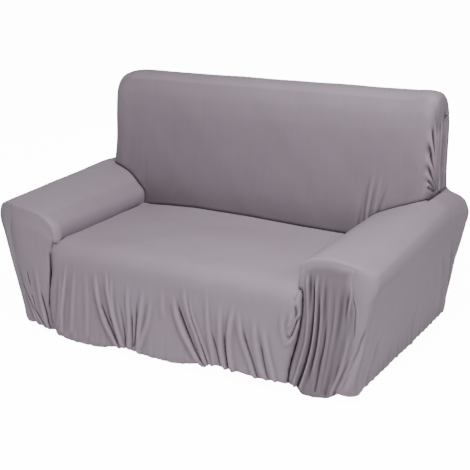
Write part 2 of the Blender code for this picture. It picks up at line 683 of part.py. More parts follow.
class BackPanel(Panel):
    """The inside back, the top and the outside back. Rows run from the crease over to the rear hem."""

    flat_columns = CENTRE_COLUMNS + OVER_ARM
    side_columns = flat_columns + FILLET_STEPS + END_STEPS
    columns = 2 * side_columns
    rear_start = LOWER_BACK_ROWS + UPPER_ROWS
    rows = rear_start + LAST_ROW - END_ROW

    def has_cell(self, column, row):
        """The arms take the place of the lower corners, in front and behind."""
        outer = max(abs(column - self.side_columns), abs(column + 1 - self.side_columns))
        if row < LOWER_BACK_ROWS:
            return outer <= CENTRE_COLUMNS
        if row >= self.rear_start:
            return outer <= self.flat_columns
        return True

    def upper_share(self, lines, row, outer):
        """The share of the section at a row above the arms."""
        start = lines.start_shares[NOTCH_ROW]
        if row <= RISE_ROWS:
            share = mix(start, FRONT_TOP_SHARE, row / RISE_ROWS)
        elif row <= RISE_ROWS + ROLL_ROWS:
            share = mix(FRONT_TOP_SHARE, REAR_TOP_SHARE, (row - RISE_ROWS) / ROLL_ROWS)
        else:
            share = mix(REAR_TOP_SHARE, REAR_ARM_SHARE, (row - RISE_ROWS - ROLL_ROWS) / FALL_ROWS)
        over = max(outer - CENTRE_COLUMNS, 0)
        own_start = lines.start_shares[min(NOTCH_ROW + over, END_ROW)]
        return share + (own_start - start) * max(1.0 - row / RISE_ROWS, 0.0)

    def place(self, column, row):
        side = 1 if column >= self.side_columns else -1
        outer = abs(column - self.side_columns)
        lines = LINES[side]
        notch = lines.junction[NOTCH_ROW][0]
        if row < LOWER_BACK_ROWS:
            edge = lines.junction[row][0]
            return Vector((side * edge.x * min(outer / CENTRE_COLUMNS, 1.0), edge.y, edge.z))
        if outer <= CENTRE_COLUMNS:
            across = notch.x * outer / CENTRE_COLUMNS
        else:
            across = lines.crown[1 + min(outer - CENTRE_COLUMNS, OVER_ARM)].x
        if row >= self.rear_start and outer <= self.flat_columns:
            seam = lines.rear[row - self.rear_start][0]
            return Vector((side * across * seam.x / lines.rear[0][0].x, seam.y, seam.z))
        upper = row - LOWER_BACK_ROWS
        share = self.upper_share(lines, upper, outer)
        step = outer - self.flat_columns
        if step <= 0:
            flat = BACK.at(share)
            point = Vector((across, flat.x, flat.y))
        else:
            point = back_corner(share, min(step, FILLET_STEPS), lines.back_half)
        sink = smooth_step((point.x - TOP_CORNER_START) / (lines.back_half - TOP_CORNER_START)) ** 2
        high = smooth_step((point.z - CORNER_SINK_FROM) / (BACK_TOP - CORNER_SINK_FROM))
        point.z -= TOP_CORNER_DROP[side] * sink * high
        if step > FILLET_STEPS:
            point = point.lerp(lines.dart_point(upper), (step - FILLET_STEPS) / END_STEPS)
        return mirrored(point, side)

    def seam_direction(self, column, row):
        side = 1 if column >= self.side_columns else -1
        outer = abs(column - self.side_columns)
        lines = LINES[side]
        if row == 0 and outer < CENTRE_COLUMNS:
            return CREASE_TURN
        if row <= LOWER_BACK_ROWS:
            index = row + max(outer - CENTRE_COLUMNS, 0)
            if index > END_ROW:
                return mirrored(lines.end_face[index - END_ROW][1], side)
            return mirrored(lines.junction[index][1], side)
        if row < self.rear_start:
            return Vector((-side, 0.0, 0.0))
        if outer > self.flat_columns:
            index = END_STEPS + END_STEPS + FILLET_STEPS - (outer - self.flat_columns)
            return mirrored(lines.end_face[index][1], side)
        return mirrored(lines.rear[row - self.rear_start][1], side)

    def is_hem(self, column, row):
        return row == self.rows

    def is_free(self, start, end):
        """The stitches of a dart seam run out just before its tip."""
        at_tip = any(column in (0, self.columns) and row == LOWER_BACK_ROWS + DART_ROW
                     for column, row in (start, end))
        return at_tip or super().is_free(start, end)


class ArmPanel(Panel):
    """Inner face, top and outer side of an arm. Rows run over it, columns from front to rear."""

    columns = BACK_COLUMN + REAR_STEPS
    rows = LAST_ROW

    def __init__(self, side):
        self.side = side
        self.flipped = side > 0
        self.lines = LINES[side]
        self.points = [self.lines.arm_row(row) for row in range(LAST_ROW + 1)]

    def has_cell(self, column, row):
        """The back takes the place of the inner rear corner."""
        return row >= END_ROW or column < BACK_COLUMN

    def place(self, column, row):
        points = self.points[row]
        return mirrored(points[min(column, len(points) - 1)], self.side)

    def seam_direction(self, column, row):
        lines = self.lines
        if column == 0:
            into = lines.front[row][1]
        elif column == self.columns:
            into = lines.rear[row - END_ROW][1]
        elif column >= BACK_COLUMN and row == END_ROW:
            index = column - BACK_COLUMN
            into = lines.end_face[index][1] if index else lines.junction[END_ROW][1]
        elif column == BACK_COLUMN:
            into = lines.junction[row][1]
        else:
            into = lines.front[0][1].lerp(-Z_UP, min(column / TURN_STEPS, 1.0)).normalized()
        return mirrored(into, self.side)

    def is_hem(self, column, row):
        return row == self.rows


class FrontPanel(Panel):
    """The gathered panel on an arm's front. Columns run outward, rows from the hem up."""

    columns = (END_ROW - INNER_ROWS) * FRONT_SPLIT
    rows = TUCK_ROWS + INNER_ROWS

    def __init__(self, side):
        self.side = side
        self.flipped = side < 0
        self.lines = LINES[side]

    def left(self, row):
        if row <= TUCK_ROWS:
            return self.lines.tuck[TUCK_ROWS - row]
        return self.lines.front[row - TUCK_ROWS]

    def right(self, row):
        return self.lines.front[LAST_ROW - row]

    def top(self, column):
        whole, part = divmod(column, FRONT_SPLIT)
        start, into = self.lines.front[INNER_ROWS + whole]
        if not part:
            return start, into
        return start.lerp(self.lines.front[INNER_ROWS + whole + 1][0], part / FRONT_SPLIT), into

    def bottom(self, column):
        share = column / self.columns
        sag = Z_UP * table_value(FRONT_SAG[self.side], share)
        return self.left(0)[0].lerp(self.right(0)[0], share) - sag

    def place(self, column, row):
        u = column / self.columns
        v = row / self.rows
        left = self.left(row)[0]
        right = self.right(row)[0]
        ruled = left.lerp(right, u)
        ends = self.bottom(column).lerp(self.top(column)[0], v)
        corners_low = self.left(0)[0].lerp(self.right(0)[0], u)
        corners_high = self.left(self.rows)[0].lerp(self.right(self.rows)[0], u)
        point = ruled + ends - corners_low.lerp(corners_high, v)
        swell = FRONT_SWELL * math.sin(math.pi * u) * smooth_step((1.0 - v) * SWELL_RATE)
        point.y -= swell + self.gather_depth(column, v)
        return mirrored(point, self.side)

    def gather_depth(self, column, v):
        """How far a ridge stands forward: none at the arc, full from a third of the way down."""
        if column % 2 == 0:
            return 0.0
        return FRONT_GATHERS[self.side][column // 2] * smooth_step((1.0 - v) * GATHER_RATE)

    def seam_direction(self, column, row):
        if column == 0:
            into = self.left(row)[1]
        elif column == self.columns:
            into = self.right(row)[1]
        else:
            into = self.top(column)[1]
        return mirrored(into, self.side)

    def is_hem(self, column, row):
        return row == 0


# ---------------------------------------------------------------- making the solids

def seam_inset(vertex, directions):
    """How far a seam point moves back from its neighbour across the seam."""
    normals = []
    for edge in vertex.link_edges:
        if not edge.is_boundary or not all(end in directions for end in edge.verts):
            continue
        loop = edge.link_loops[0]
        start = loop.vert
        end = loop.link_loop_next.vert
        into = (directions[start] + directions[end]).normalized()
        normals.append((start.co - end.co).cross(into).normalized())
    total = sum(normals, Vector())
    if len(normals) == 2:
        total = total / max(1.0 + normals[0].dot(normals[1]), 0.4)
    return -total * (SEAM_GAP / 2.0)


def split_allowance(face, directions):
    """Cut a turned-in face along the diagonal that its neighbour across the seam has too."""
    sewn = [vertex for vertex in face.verts if vertex in directions]
    far = max(sewn, key=lambda vertex: vertex.co.length)
    beside = {edge.other_vert(far) for edge in far.link_edges}
    opposite = next(vertex for vertex in face.verts if vertex is not far and vertex not in beside)
    bmesh.utils.face_split(face, far, opposite)


def make_panel(name, panel, colour, collection):
    """Lay out a panel's grid, turn its seam edges in and give it the cloth's thickness."""
    build = bmesh.new()
    bmesh.ops.create_grid(build, x_segments=panel.columns, y_segments=panel.rows, size=1.0)
    spots = {}
    for vertex in build.verts:
        column = round((vertex.co.x + 1.0) * 0.5 * panel.columns)
        row = round((vertex.co.y + 1.0) * 0.5 * panel.rows)
        spots[vertex] = (column, row)
    missing = []
    for face in build.faces:
        column = min(spots[vertex][0] for vertex in face.verts)
        row = min(spots[vertex][1] for vertex in face.verts)
        if not panel.has_cell(column, row):
            missing.append(face)
    bmesh.ops.delete(build, geom=missing, context='FACES')
    for vertex in build.verts:
        vertex.co = panel.place(*spots[vertex])
    if panel.flipped:
        bmesh.ops.reverse_faces(build, faces=build.faces)

    seam_edges = []
    for edge in build.edges:
        if edge.is_boundary and not panel.is_free(*(spots[vertex] for vertex in edge.verts)):
            seam_edges.append(edge)
    directions = {}
    for edge in seam_edges:
        for vertex in edge.verts:
            directions[vertex] = panel.seam_direction(*spots[vertex])
    turned_edges = []
    for edge in seam_edges:
        if not any(panel.is_hem(*spots[vertex]) for vertex in edge.verts):
            turned_edges.append(edge)
    insets = {vertex: seam_inset(vertex, directions) for vertex in directions}
    for vertex, inset in insets.items():
        vertex.co += inset
    turned = bmesh.ops.extrude_edge_only(build, edges=turned_edges)
    fresh = {item for item in turned['geom'] if isinstance(item, bmesh.types.BMVert)}
    for vertex in fresh:
        source = next(edge.other_vert(vertex) for edge in vertex.link_edges
                      if edge.other_vert(vertex) in directions)
        vertex.co = source.co + directions[source] * ALLOWANCE
    for face in [item for item in turned['geom'] if isinstance(item, bmesh.types.BMFace)]:
        split_allowance(face, directions)

    mesh = bpy.data.meshes.new(name)
    build.to_mesh(mesh)
    build.free()
    for polygon in mesh.polygons:
        polygon.use_smooth = True
    item = bpy.data.objects.new(name, mesh)
    item.location = -HANG
    collection.objects.link(item)
    thickness = item.modifiers.new("cloth", 'SOLIDIFY')
    thickness.thickness = CLOTH
    thickness.offset = -1.0
    thickness.use_even_offset = True
    thickness.use_quality_normals = True
    item.data.materials.append(cloth_material(name, colour))
    return item


def cloth_material(name, colour):
    material = bpy.data.materials.new(name)
    material.use_nodes = True
    shader = material.node_tree.nodes["Principled BSDF"]
    shader.inputs["Base Color"].default_value = (*colour, 1.0)
    shader.inputs["Roughness"].default_value = ROUGHNESS
    shader.inputs["Metallic"].default_value = 0.0
    return material


def main():
    for item in list(bpy.data.objects):
        bpy.data.objects.remove(item, do_unlink=True)
    cover = bpy.data.collections.new("sofa_slipcover")
    bpy.context.scene.collection.children.link(cover)

    make_panel("back_panel", BackPanel(), JERSEY, cover)
    make_panel("seat_panel", SeatPanel(), JERSEY, cover)
    for side, word in ((-1, "left"), (1, "right")):
        make_panel("arm_panel_" + word, ArmPanel(side), JERSEY, cover)
        make_panel("arm_front_" + word, FrontPanel(side), GATHERED, cover)


main()
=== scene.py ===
"""The dressed slipcover: six panels of stretch jersey on the frame of the solids.

The base form repeats the sizes and seam lines of the solids. Each panel is refined to smooth cloth,
then folds, gathers and seams are pushed into it from tables. Units are metres, and millimetres in the
fold tables. Tables and sizes count from the middle of the front at floor level, and each mesh is moved
to the hanging point when it is built.
"""

import math

import bpy
import numpy as np
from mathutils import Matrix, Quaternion, Vector, kdtree


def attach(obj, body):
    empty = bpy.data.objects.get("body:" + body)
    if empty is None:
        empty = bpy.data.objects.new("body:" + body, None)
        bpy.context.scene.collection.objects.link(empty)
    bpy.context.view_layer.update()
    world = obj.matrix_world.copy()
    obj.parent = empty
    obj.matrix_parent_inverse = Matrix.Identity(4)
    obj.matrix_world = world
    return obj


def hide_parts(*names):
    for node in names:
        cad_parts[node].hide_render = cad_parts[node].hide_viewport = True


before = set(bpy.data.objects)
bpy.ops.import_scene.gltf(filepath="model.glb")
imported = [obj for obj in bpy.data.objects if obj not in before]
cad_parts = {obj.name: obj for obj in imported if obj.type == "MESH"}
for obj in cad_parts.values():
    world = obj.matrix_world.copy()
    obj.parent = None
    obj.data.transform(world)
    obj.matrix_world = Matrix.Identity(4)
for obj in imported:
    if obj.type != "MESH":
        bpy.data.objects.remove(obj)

# ---------------------------------------------------------------- sizes of the cover

CLOTH = 0.0018          # thickness of the cloth
HANG = Vector((0.0, 0.765, 0.903))      # the hanging point, from the middle of the front at floor level
Z_UP = Vector((0.0, 0.0, 1.0))
TO_REAR = Vector((0.0, 1.0, 0.0))
TO_FRONT = Vector((0.0, -1.0, 0.0))
TO_MIDDLE = Vector((-1.0, 0.0, 0.0))

INNER_ARM = 0.500       # half the width between the arms
BACK_HALF = {1: 0.705, -1: 0.697}       # half the width of the back, right and left
BACK_FILLET = 0.028     # rounding where the back turns onto its end faces
SEAT_LEVEL = 0.392      # top of the seat at its side edges
SEAT_CROWN = 0.010      # how far the seat rises in its middle
SEAM_DROP = 0.016       # how far the seat's side seams lie under its top
CROWN_START = 0.12      # share of its half wave at which the crown starts, behind the front edge
CROWN_PACE = 1.2        # how fast it runs through the rest towards the rear
SEAT_FALL_POWER = 4     # how late the seat falls towards the crease
SEAT_ROLL = 0.072       # radius of the rounded front edge of the seat
APRON_FRONT = -0.026    # how far the apron stands in front of the arm fronts
SIDE_ROLL = 0.034       # width over which the seat rolls down to its side seams
ARM_FRONT_INSET = 0.016     # how far the front seam lies inside the arm's outline
HEM_RADIUS = 0.016      # the hem curls under on this radius
HEM_LEVEL = 0.022       # usual height of the hem's lowest line
SLIT = 0.0016           # widest opening of the dart seam on the ends of the back

# The back in section, from the crease at the seat over the top and down to the hem.
BACK_SECTION = (        # depth, height
    (0.568, 0.388), (0.592, 0.440), (0.622, 0.520), (0.646, 0.610), (0.657, 0.700), (0.664, 0.790),
    (0.680, 0.856), (0.716, 0.898), (0.766, 0.909), (0.818, 0.890), (0.850, 0.845), (0.864, 0.760),
    (0.868, 0.640), (0.874, 0.540), (0.890, 0.430), (0.904, 0.320), (0.913, 0.180),
    (0.918, HEM_LEVEL + HEM_RADIUS),
)
TOP_FRONT = 0.850       # height at which the front of the back starts to round over
TOP_REAR = 0.846        # height at which its outer side stops rounding
REAR_ARM_LEVEL = 0.534  # height of the arms where they meet the back's rear corner
DART_FOOT = 0.779       # depth of the dart seam where it meets the arm
DART_FOOT_SHARE = 0.6   # how much of the height from the end's front edge to its rear one it has there
DART_TIP = (0.786, 0.826)   # depth and height of the dart seam's upper end

# The arm's outline over its top, from the inner face to its widest line.
ARM_CROWN = {           # across, height at the front, height at the back's front face
    1: ((0.500, 0.424, 0.440), (0.507, 0.460, 0.462), (0.545, 0.488, 0.482), (0.600, 0.498, 0.504),
        (0.664, 0.495, 0.526), (0.700, 0.490, 0.540), (0.737, 0.479, 0.534), (0.766, 0.459, 0.510),
        (0.777, 0.424, 0.465)),
    -1: ((0.500, 0.400, 0.402), (0.507, 0.436, 0.430), (0.545, 0.474, 0.462), (0.600, 0.494, 0.500),
         (0.664, 0.506, 0.524), (0.700, 0.511, 0.534), (0.742, 0.512, 0.536), (0.776, 0.494, 0.514),
         (0.788, 0.454, 0.468)),
}
HEM_HALF = {1: 0.708, -1: 0.694}        # half width of the arms' hem
REAR_SEAM_HALF = 0.618  # half the width between the rear seams at the hem
SIDE_BOW = {1: -0.002, -1: -0.006}      # bow of an arm's outer side between top and hem (negative: in)
REAR_SPREAD = 0.011     # how much wider the arms are at the rear
SPREAD_ROWS = 3         # rows beyond the back's end over which an arm widens and its edges change
REAR_CORNER = 0.022     # rounding of an arm's rear corner at its widest line
REAR_CORNER_HEM = 0.150     # rounding of that corner at the hem
CORNER_PACE = 1.2       # how soon above the hem it is that wide
CORNER_ROOM = 0.8       # the most of the arm's rear face that it may take up
TOP_CORNER_DROP = {1: 0.0, -1: 0.016}     # how far the top sinks at the ends of the back
TOP_CORNER_START = 0.560    # distance from the middle at which it starts to sink
TOP_CORNER_REACH = 0.16     # how far below the top the cloth still sinks with it
ARM_EDGE = (0.020, 0.046)   # depth of the arm's front edge, over its top and down its outer side
ARM_EDGE_REACH = (0.56, 0.80)       # how square that edge is, at the same places

# The seam between an arm's front panel and the arm, from the end of its arc down to the hem.
FRONT_SEAM = {          # across, height
    1: ((0.700, 0.462), (0.697, 0.413), (0.719, 0.337), (0.714, 0.237), (0.676, 0.119), (0.646, 0.042)),
    -1: ((0.706, 0.474), (0.716, 0.420), (0.713, 0.337), (0.702, 0.237), (0.668, 0.119), (0.640, 0.046)),
}

# The tuck between the apron and an arm's front panel, below the seat's corner.
TUCK = {                # across, height
    1: ((0.521, 0.310), (0.503, 0.200), (0.476, 0.096), (0.468, 0.034)),
    -1: ((0.522, 0.290), (0.541, 0.170), (0.540, 0.096), (0.528, 0.034)),
}

# How the apron's hem rises and falls.
HEM_SWING = (           # across, height of the lowest line
    (-0.530, 0.014), (-0.440, 0.000), (-0.310, 0.004), (-0.200, 0.026), (-0.090, 0.010), (0.030, 0.010),
    (0.110, 0.030), (0.190, 0.040), (0.280, 0.034), (0.370, 0.030), (0.440, 0.034), (0.530, 0.018),
)

FRONT_SWELL = 0.010     # how far a front panel swells forward in its middle
SWELL_PACE = 5.0        # how soon below its top it swells
FRONT_SAG = {           # across as a share of the panel's width, fall of the hem below its seams
    1: ((0.0, 0.0), (0.15, -0.006), (0.28, 0.022), (0.5, 0.024), (0.8, 0.020), (1.0, 0.0)),
    -1: ((0.0, 0.0), (0.3, 0.004), (0.6, -0.002), (1.0, 0.0)),
}

INNER_ROWS = 2          # rows up an arm's inner face
HEM_ROWS = 2            # rows round the curl of a hem
SIDE_ROWS = 8           # rows down an arm's outer side to the curl
APRON_ROWS = 9          # rows down the apron to the curl
FRONT_TURN = (0.0, 0.36, 0.64, 0.85, 1.0)       # steps round the arm's front edge
ARM_COLUMNS = 9         # columns along an arm, up to the back
FILLET_STEPS = 3        # columns round the ends of the back
END_STEPS = 3           # columns from the end's edge to its dart seam
LOWER_BACK_ROWS = 3     # rows of the back from the crease to the notch over the arm
CENTRE_COLUMNS = 6      # columns of the back from its middle to the arm
OVER_ARM_COLUMNS = 3    # columns from there to the rounding of its end
RISE_ROWS = 6           # rows up the inside back above the arms
ROLL_ROWS = 7           # rows over the top of the back
FALL_ROWS = 5           # rows down the outside back to the arms
DART_ROW = 11           # row whose end is the dart seam's tip
SIDE_ROLL_STEPS = 4     # columns of each side roll
SEAT_CENTRE = 20        # columns of the seat between its side rolls
FRONT_SPLIT = 2         # columns of a front panel for each row of the arm's crown

# ---------------------------------------------------------------- sizes of the look

TINY = 1e-9             # keeps a division by nothing from failing
SECTION_STEPS = 24      # points of a section or seam line between two of its knots
FOLD_STEPS = 6          # points of a fold between two of its knots
PER_METRE = 1000.0      # the fold tables count in millimetres
SEAT_CELLS = (0.0036, 0.0095)       # cells of fine cloth, along columns and rows
BACK_CELLS = (0.0110, 0.0110)
ARM_CELLS = (0.0100, 0.0100)
FRONT_CELLS = (0.0020, 0.0055)
BACK_OUTER_CELL = 0.0055    # columns of the back above the arms and at its ends
BACK_END_CELL = 0.0032      # columns of its right end
BACK_RISE_CELL = 0.0065     # rows of the inside back
TIGHT_STEPS = 2         # how many more fine cells a coarse one beside a sewn border gets
TIGHT_POWER = 1.6       # how strongly fine cells crowd towards a sewn border
TURN_IN = 0.008         # cloth turned in at a sewn edge
SEAM_SEARCH = 0.012     # a neighbour's border lies no further than this
SNAP_REACH = 0.010      # how far in from a border the cloth follows when it is matched
CORNER_REACH = 0.040    # the seams are drawn in less this near the seat's rear corners
BOW_REACH = 0.06        # how far from the crease the seat and back follow its bow
RELAX_ROUNDS = 6        # how often the tops of the arms are evened out
RELAX_BLUR = (4, 4)     # rounds of blur in each
RELAX_EDGE = 0.050      # width along the seams over which that comes in
WIDE_EDGE = 0.020       # width along the seams of back and arms over which folds fade in
FINE_EDGE = 0.011       # the same on the seat and the arms' fronts
ARM_RIPPLE = 0.4        # how uneven the arms are beside the other panels
RAY_HEIGHT = 0.5        # share of their table's depth that the rays on the back's ends have
LEFT_RAYS = 0.6         # how much of them the left end has
HOLLOW_DEPTH = 0.005    # depth of a groove that gets the full painted shade
HOLLOW_REACH = 0.0095   # width of the cloth round a point that its depth is compared with
BACK_BLUR = (14, 3)     # rounds of that comparison on the back, whose cells vary
OPEN_FOLD_SHADE = 0.50  # share of the groove shade that the open folds of the inside back take
FRONT_FOLD_SHADE = {1: 0.50, -1: 1.30}      # the same for the arms' fronts
RAY_SHADE = 1.9         # and for the rays on the back's ends, which are narrow
LINE_SHADE = 0.62       # painted shade along a seam that is drawn in fully
LINE_REACH = 0.0035     # half the width of that dark line
BACK_PAINTED_SHADE = 0.16        # painted shade over the whole inside back
BACK_SHADE = 0.72       # darkening of the inside back at its foot
BACK_SHADE_REACH = 0.20     # how far it reaches from there
BACK_LEAN_FOOT = 0.60   # depth behind which the foot of the inside back lies
BACK_SIDE_SHADE = 0.10  # darkening of the inside back beside the arms
ARM_SHADE = 0.50        # darkening of the arms' inner faces at their foot
SIDE_SHADE_REACH = 0.05     # how far those two reach from the seat's sides
INSIDE_DEPTH = 0.70     # the inside back lies in front of this depth
INNER_FACE_REACH = 0.56     # an arm's inner face lies nearer to the middle than this
INNER_FACE_START = 0.03     # and behind this depth
GATHER_SHADE = 0.52     # darkening of the gathers on the right arm's front
GATHER_EDGE = 0.030     # width along its seams over which that fades in
TUCK_SHADE = 0.75       # darkening in the tucks between apron and arm fronts
TUCK_REACH = 0.007      # half the width of that dark line
TUCK_SIDE = 0.60        # the tucks lie nearer to the middle than this
TUCK_TOP = 0.395        # below this height
TUCK_TOP_FADE = 0.03    # height over which they start
TUCK_FOOT = 0.06        # and above this one
TUCK_FOOT_FADE = 0.12   # height over which they run out
TONE = (0.270, 0.218, 0.262)        # colour of the jersey
WHITE = (1.0, 1.0, 1.0, 1.0)
KNIT_RIBS = 100.0       # ribs of the knit
KNIT_COURSES = 130.0    # courses of the knit
FLOOR_LEVEL = -0.004    # the floor, just under the lowest hem
FLOOR_HALF = 14.0       # half the floor's side
FLOOR_GLOW = 14.0       # how pale the floor looks beyond the lamps' reach
FLOOR_BOUNCE = 0.06     # how much the floor lights the cloth
WORLD_FILL = 0.09       # how much of the pale surround lights the cloth
CAMERA_PLACE = (1.8683, -3.4872, 0.6505)
CAMERA_TARGET = (0.0289, -0.3517, -0.5341)
CAMERA_ROLL = -1.07     # degrees
CAMERA_LENS = 77.13     # millimetres
CAMERA_SENSOR = 36.0    # width of the sensor, in millimetres
CAMERA_SIGHT = 60.0     # how far the camera sees

# How hard the seams are drawn in, as shares of how far a seam sinks.
FRONT_DEPTH = 0.012     # the seams round the arms' fronts lie in front of this depth
FRONT_PULL = 0.07       # those seams
EDGE_PULL = 0.2         # every other seam, where it starts behind them
SEAT_PULL = 1.1         # what is added to that further back
SEAT_PULL_DEPTH = 0.08  # depth at which all of it is added
REAR_SEAM_DEPTH = 0.80  # the seams behind the arms lie behind this depth
REAR_SEAM_TOP = 0.56    # and below this height
REAR_PULL = 0.35        # those seams
TUCK_PULL = {1: 2.2, -1: 1.8}       # the tucks beside the apron
TUCK_SEAM_SIDE = 0.552  # the tucks' seams lie nearer to the middle than this
TUCK_SEAM_TOP = 0.390   # and below this height
SEAM_SINK = 0.0040      # how far a seam sinks
SEAM_REACH = 0.0060     # half the width of that dip
PUCKER_HEIGHT = 0.0007  # height of the puckers beside the seams
PUCKER_PITCH = 0.017    # their length along the seam
PUCKER_REACH = 0.016    # how far into the cloth they reach
PUCKER_COURSE = (1.0, 0.83, 1.21)   # how fast they follow on one another along each axis
HEM_PUCKERS = 0.0022    # height of the gathers at the hem
APRON_PUCKERS = 0.0007  # their height on the apron
HEM_PITCH = 0.043       # their length along the hem
HEM_REACH = 0.050       # how far up they reach
APRON_FADE = 1.5        # rows over the front edge in which the apron's folds run out

# How far a normal has to turn some way before folds start, and the range over which they come in.
RIGHT_END = (0.60, 0.35)
LEFT_END = (0.93, 0.07)
BROAD_FACE = (0.5, 0.3)
ARM_FRONT_FACE = (0.35, 0.4)
ARM_REAR_FACE = (0.4, 0.3)
RELAX_FACING = (0.55, 0.35)
ARM_FRONT_REACH = 0.2   # the front's folds end at this depth

# ---------------------------------------------------------------- curves

def soft(values):
    """From 0 to 1 with level ends."""
    values = np.clip(values, 0.0, 1.0)
    return values * values * (3.0 - 2.0 * values)


def mix(a, b, share):
    return a + (b - a) * share


def table_value(table, key, column=1):
    """The value of a table's column at a key, straight between its rows."""
    if key <= table[0][0]:
        return table[0][column]
    for low, high in zip(table, table[1:]):
        if key <= high[0]:
            return mix(low[column], high[column], (key - low[0]) / (high[0] - low[0]))
    return table[-1][column]


def curve_through(knots, steps):
    """Points of a smooth curve through a few knots, with so many steps between two."""
    padded = [knots[0] * 2 - knots[1], *knots, knots[-1] * 2 - knots[-2]]
    points = [knots[0]]
    for a, b, c, d in zip(padded, padded[1:], padded[2:], padded[3:]):
        linear = (c - a) * 0.5
        square = a - b * 2.5 + c * 2.0 - d * 0.5
        cube = (d - a) * 0.5 + (b - c) * 1.5
        for step in range(1, steps + 1):
            t = step / steps
            points.append(b + linear * t + square * (t * t) + cube * (t * t * t))
    return points


class Path:
    """A smooth plane curve through a few points, measured along its length."""

    def __init__(self, knots):
        self.points = curve_through([Vector(knot) for knot in knots], SECTION_STEPS)
        self.lengths = [0.0]
        for start, end in zip(self.points, self.points[1:]):
            self.lengths.append(self.lengths[-1] + (end - start).length)

    def at(self, share):
        """The point at this share of the length, from 0 to 1."""
        target = min(max(share, 0.0), 1.0) * self.lengths[-1]
        index = 0
        while index < len(self.points) - 2 and self.lengths[index + 1] < target:
            index += 1
        span = self.lengths[index + 1] - self.lengths[index]
        return self.points[index].lerp(self.points[index + 1], (target - self.lengths[index]) / span)

    def outward(self, share, step=0.004):
        """The unit normal on the left-hand side of the curve's direction."""
        along = (self.at(share + step) - self.at(share - step)).normalized()
        return Vector((-along.y, along.x))

    def share_at_height(self, height, falling=False):
        """The share of the length at which the curve passes this height."""
        for start, end, before, after in zip(self.points, self.points[1:], self.lengths, self.lengths[1:]):
            low, high = (end.y, start.y) if falling else (start.y, end.y)
            if low <= height <= high and high > low:
                part = (height - start.y) / (end.y - start.y)
                return (before + part * (after - before)) / self.lengths[-1]
        return 0.0


def bezier(a, b, c, d, t):
    rest = 1.0 - t
    return a * rest ** 3 + b * (3 * t * rest ** 2) + c * (3 * t * t * rest) + d * t ** 3


def quarter(step, steps):
    """The angle at a step of a quarter turn."""
    return math.radians(90.0) * step / steps


def curl(point, inward, step):
    """The hem's curl at a point of its start: down and in, on a quarter circle."""
    angle = quarter(step, HEM_ROWS)
    return point + inward * (HEM_RADIUS * (1 - math.cos(angle))) - Z_UP * (HEM_RADIUS * math.sin(angle))


def with_curl(line, inward):
    """A seam line with its last point carried on round the hem's curl."""
    return line + [curl(line[-1], inward, step) for step in range(1, HEM_ROWS + 1)]


BACK = Path(BACK_SECTION)
CREASE = BACK.at(0.0)
BACK_TOP = max(height for depth, height in BACK_SECTION)
FRONT_TOP_SHARE = BACK.share_at_height(TOP_FRONT)
REAR_TOP_SHARE = BACK.share_at_height(TOP_REAR, falling=True)
REAR_ARM_SHARE = BACK.share_at_height(REAR_ARM_LEVEL, falling=True)
CROWN_ROWS = 7 + FILLET_STEPS                   # arm rows over its crown
NOTCH_ROW = INNER_ROWS + 1                      # arm row that meets the back's lower side corner
END_ROW = NOTCH_ROW + OVER_ARM_COLUMNS + FILLET_STEPS       # arm row that runs along the back's end face
OUTER_START = INNER_ROWS + CROWN_ROWS           # arm row at the widest line
LAST_FLAT_ROW = OUTER_START + SIDE_ROWS         # last arm row above the hem's curl
LAST_ROW = LAST_FLAT_ROW + HEM_ROWS
TUCK_ROWS = APRON_ROWS + HEM_ROWS
TURN_STEPS = len(FRONT_TURN) - 1
BACK_COLUMN = TURN_STEPS + ARM_COLUMNS          # arm column that meets the back's front face
REAR_STEPS = 2 * END_STEPS + FILLET_STEPS       # arm columns from there to the rear seam
REAR_SIDE_STEPS = 3                             # those of them along the outer side
REAR_ARC_STEPS = 4                              # those of them round the rear corner
UPPER_ROWS = RISE_ROWS + ROLL_ROWS + FALL_ROWS


def back_corner(share, step, half):
    """A point round the end of the back, at a share of its section and its half width."""
    angle = quarter(step, FILLET_STEPS)
    flat = BACK.at(share) + BACK.outward(share) * (BACK_FILLET * (math.cos(angle) - 1.0))
    return Vector((half - BACK_FILLET * (1.0 - math.sin(angle)), flat.x, flat.y))


# ---------------------------------------------------------------- shared seam lines

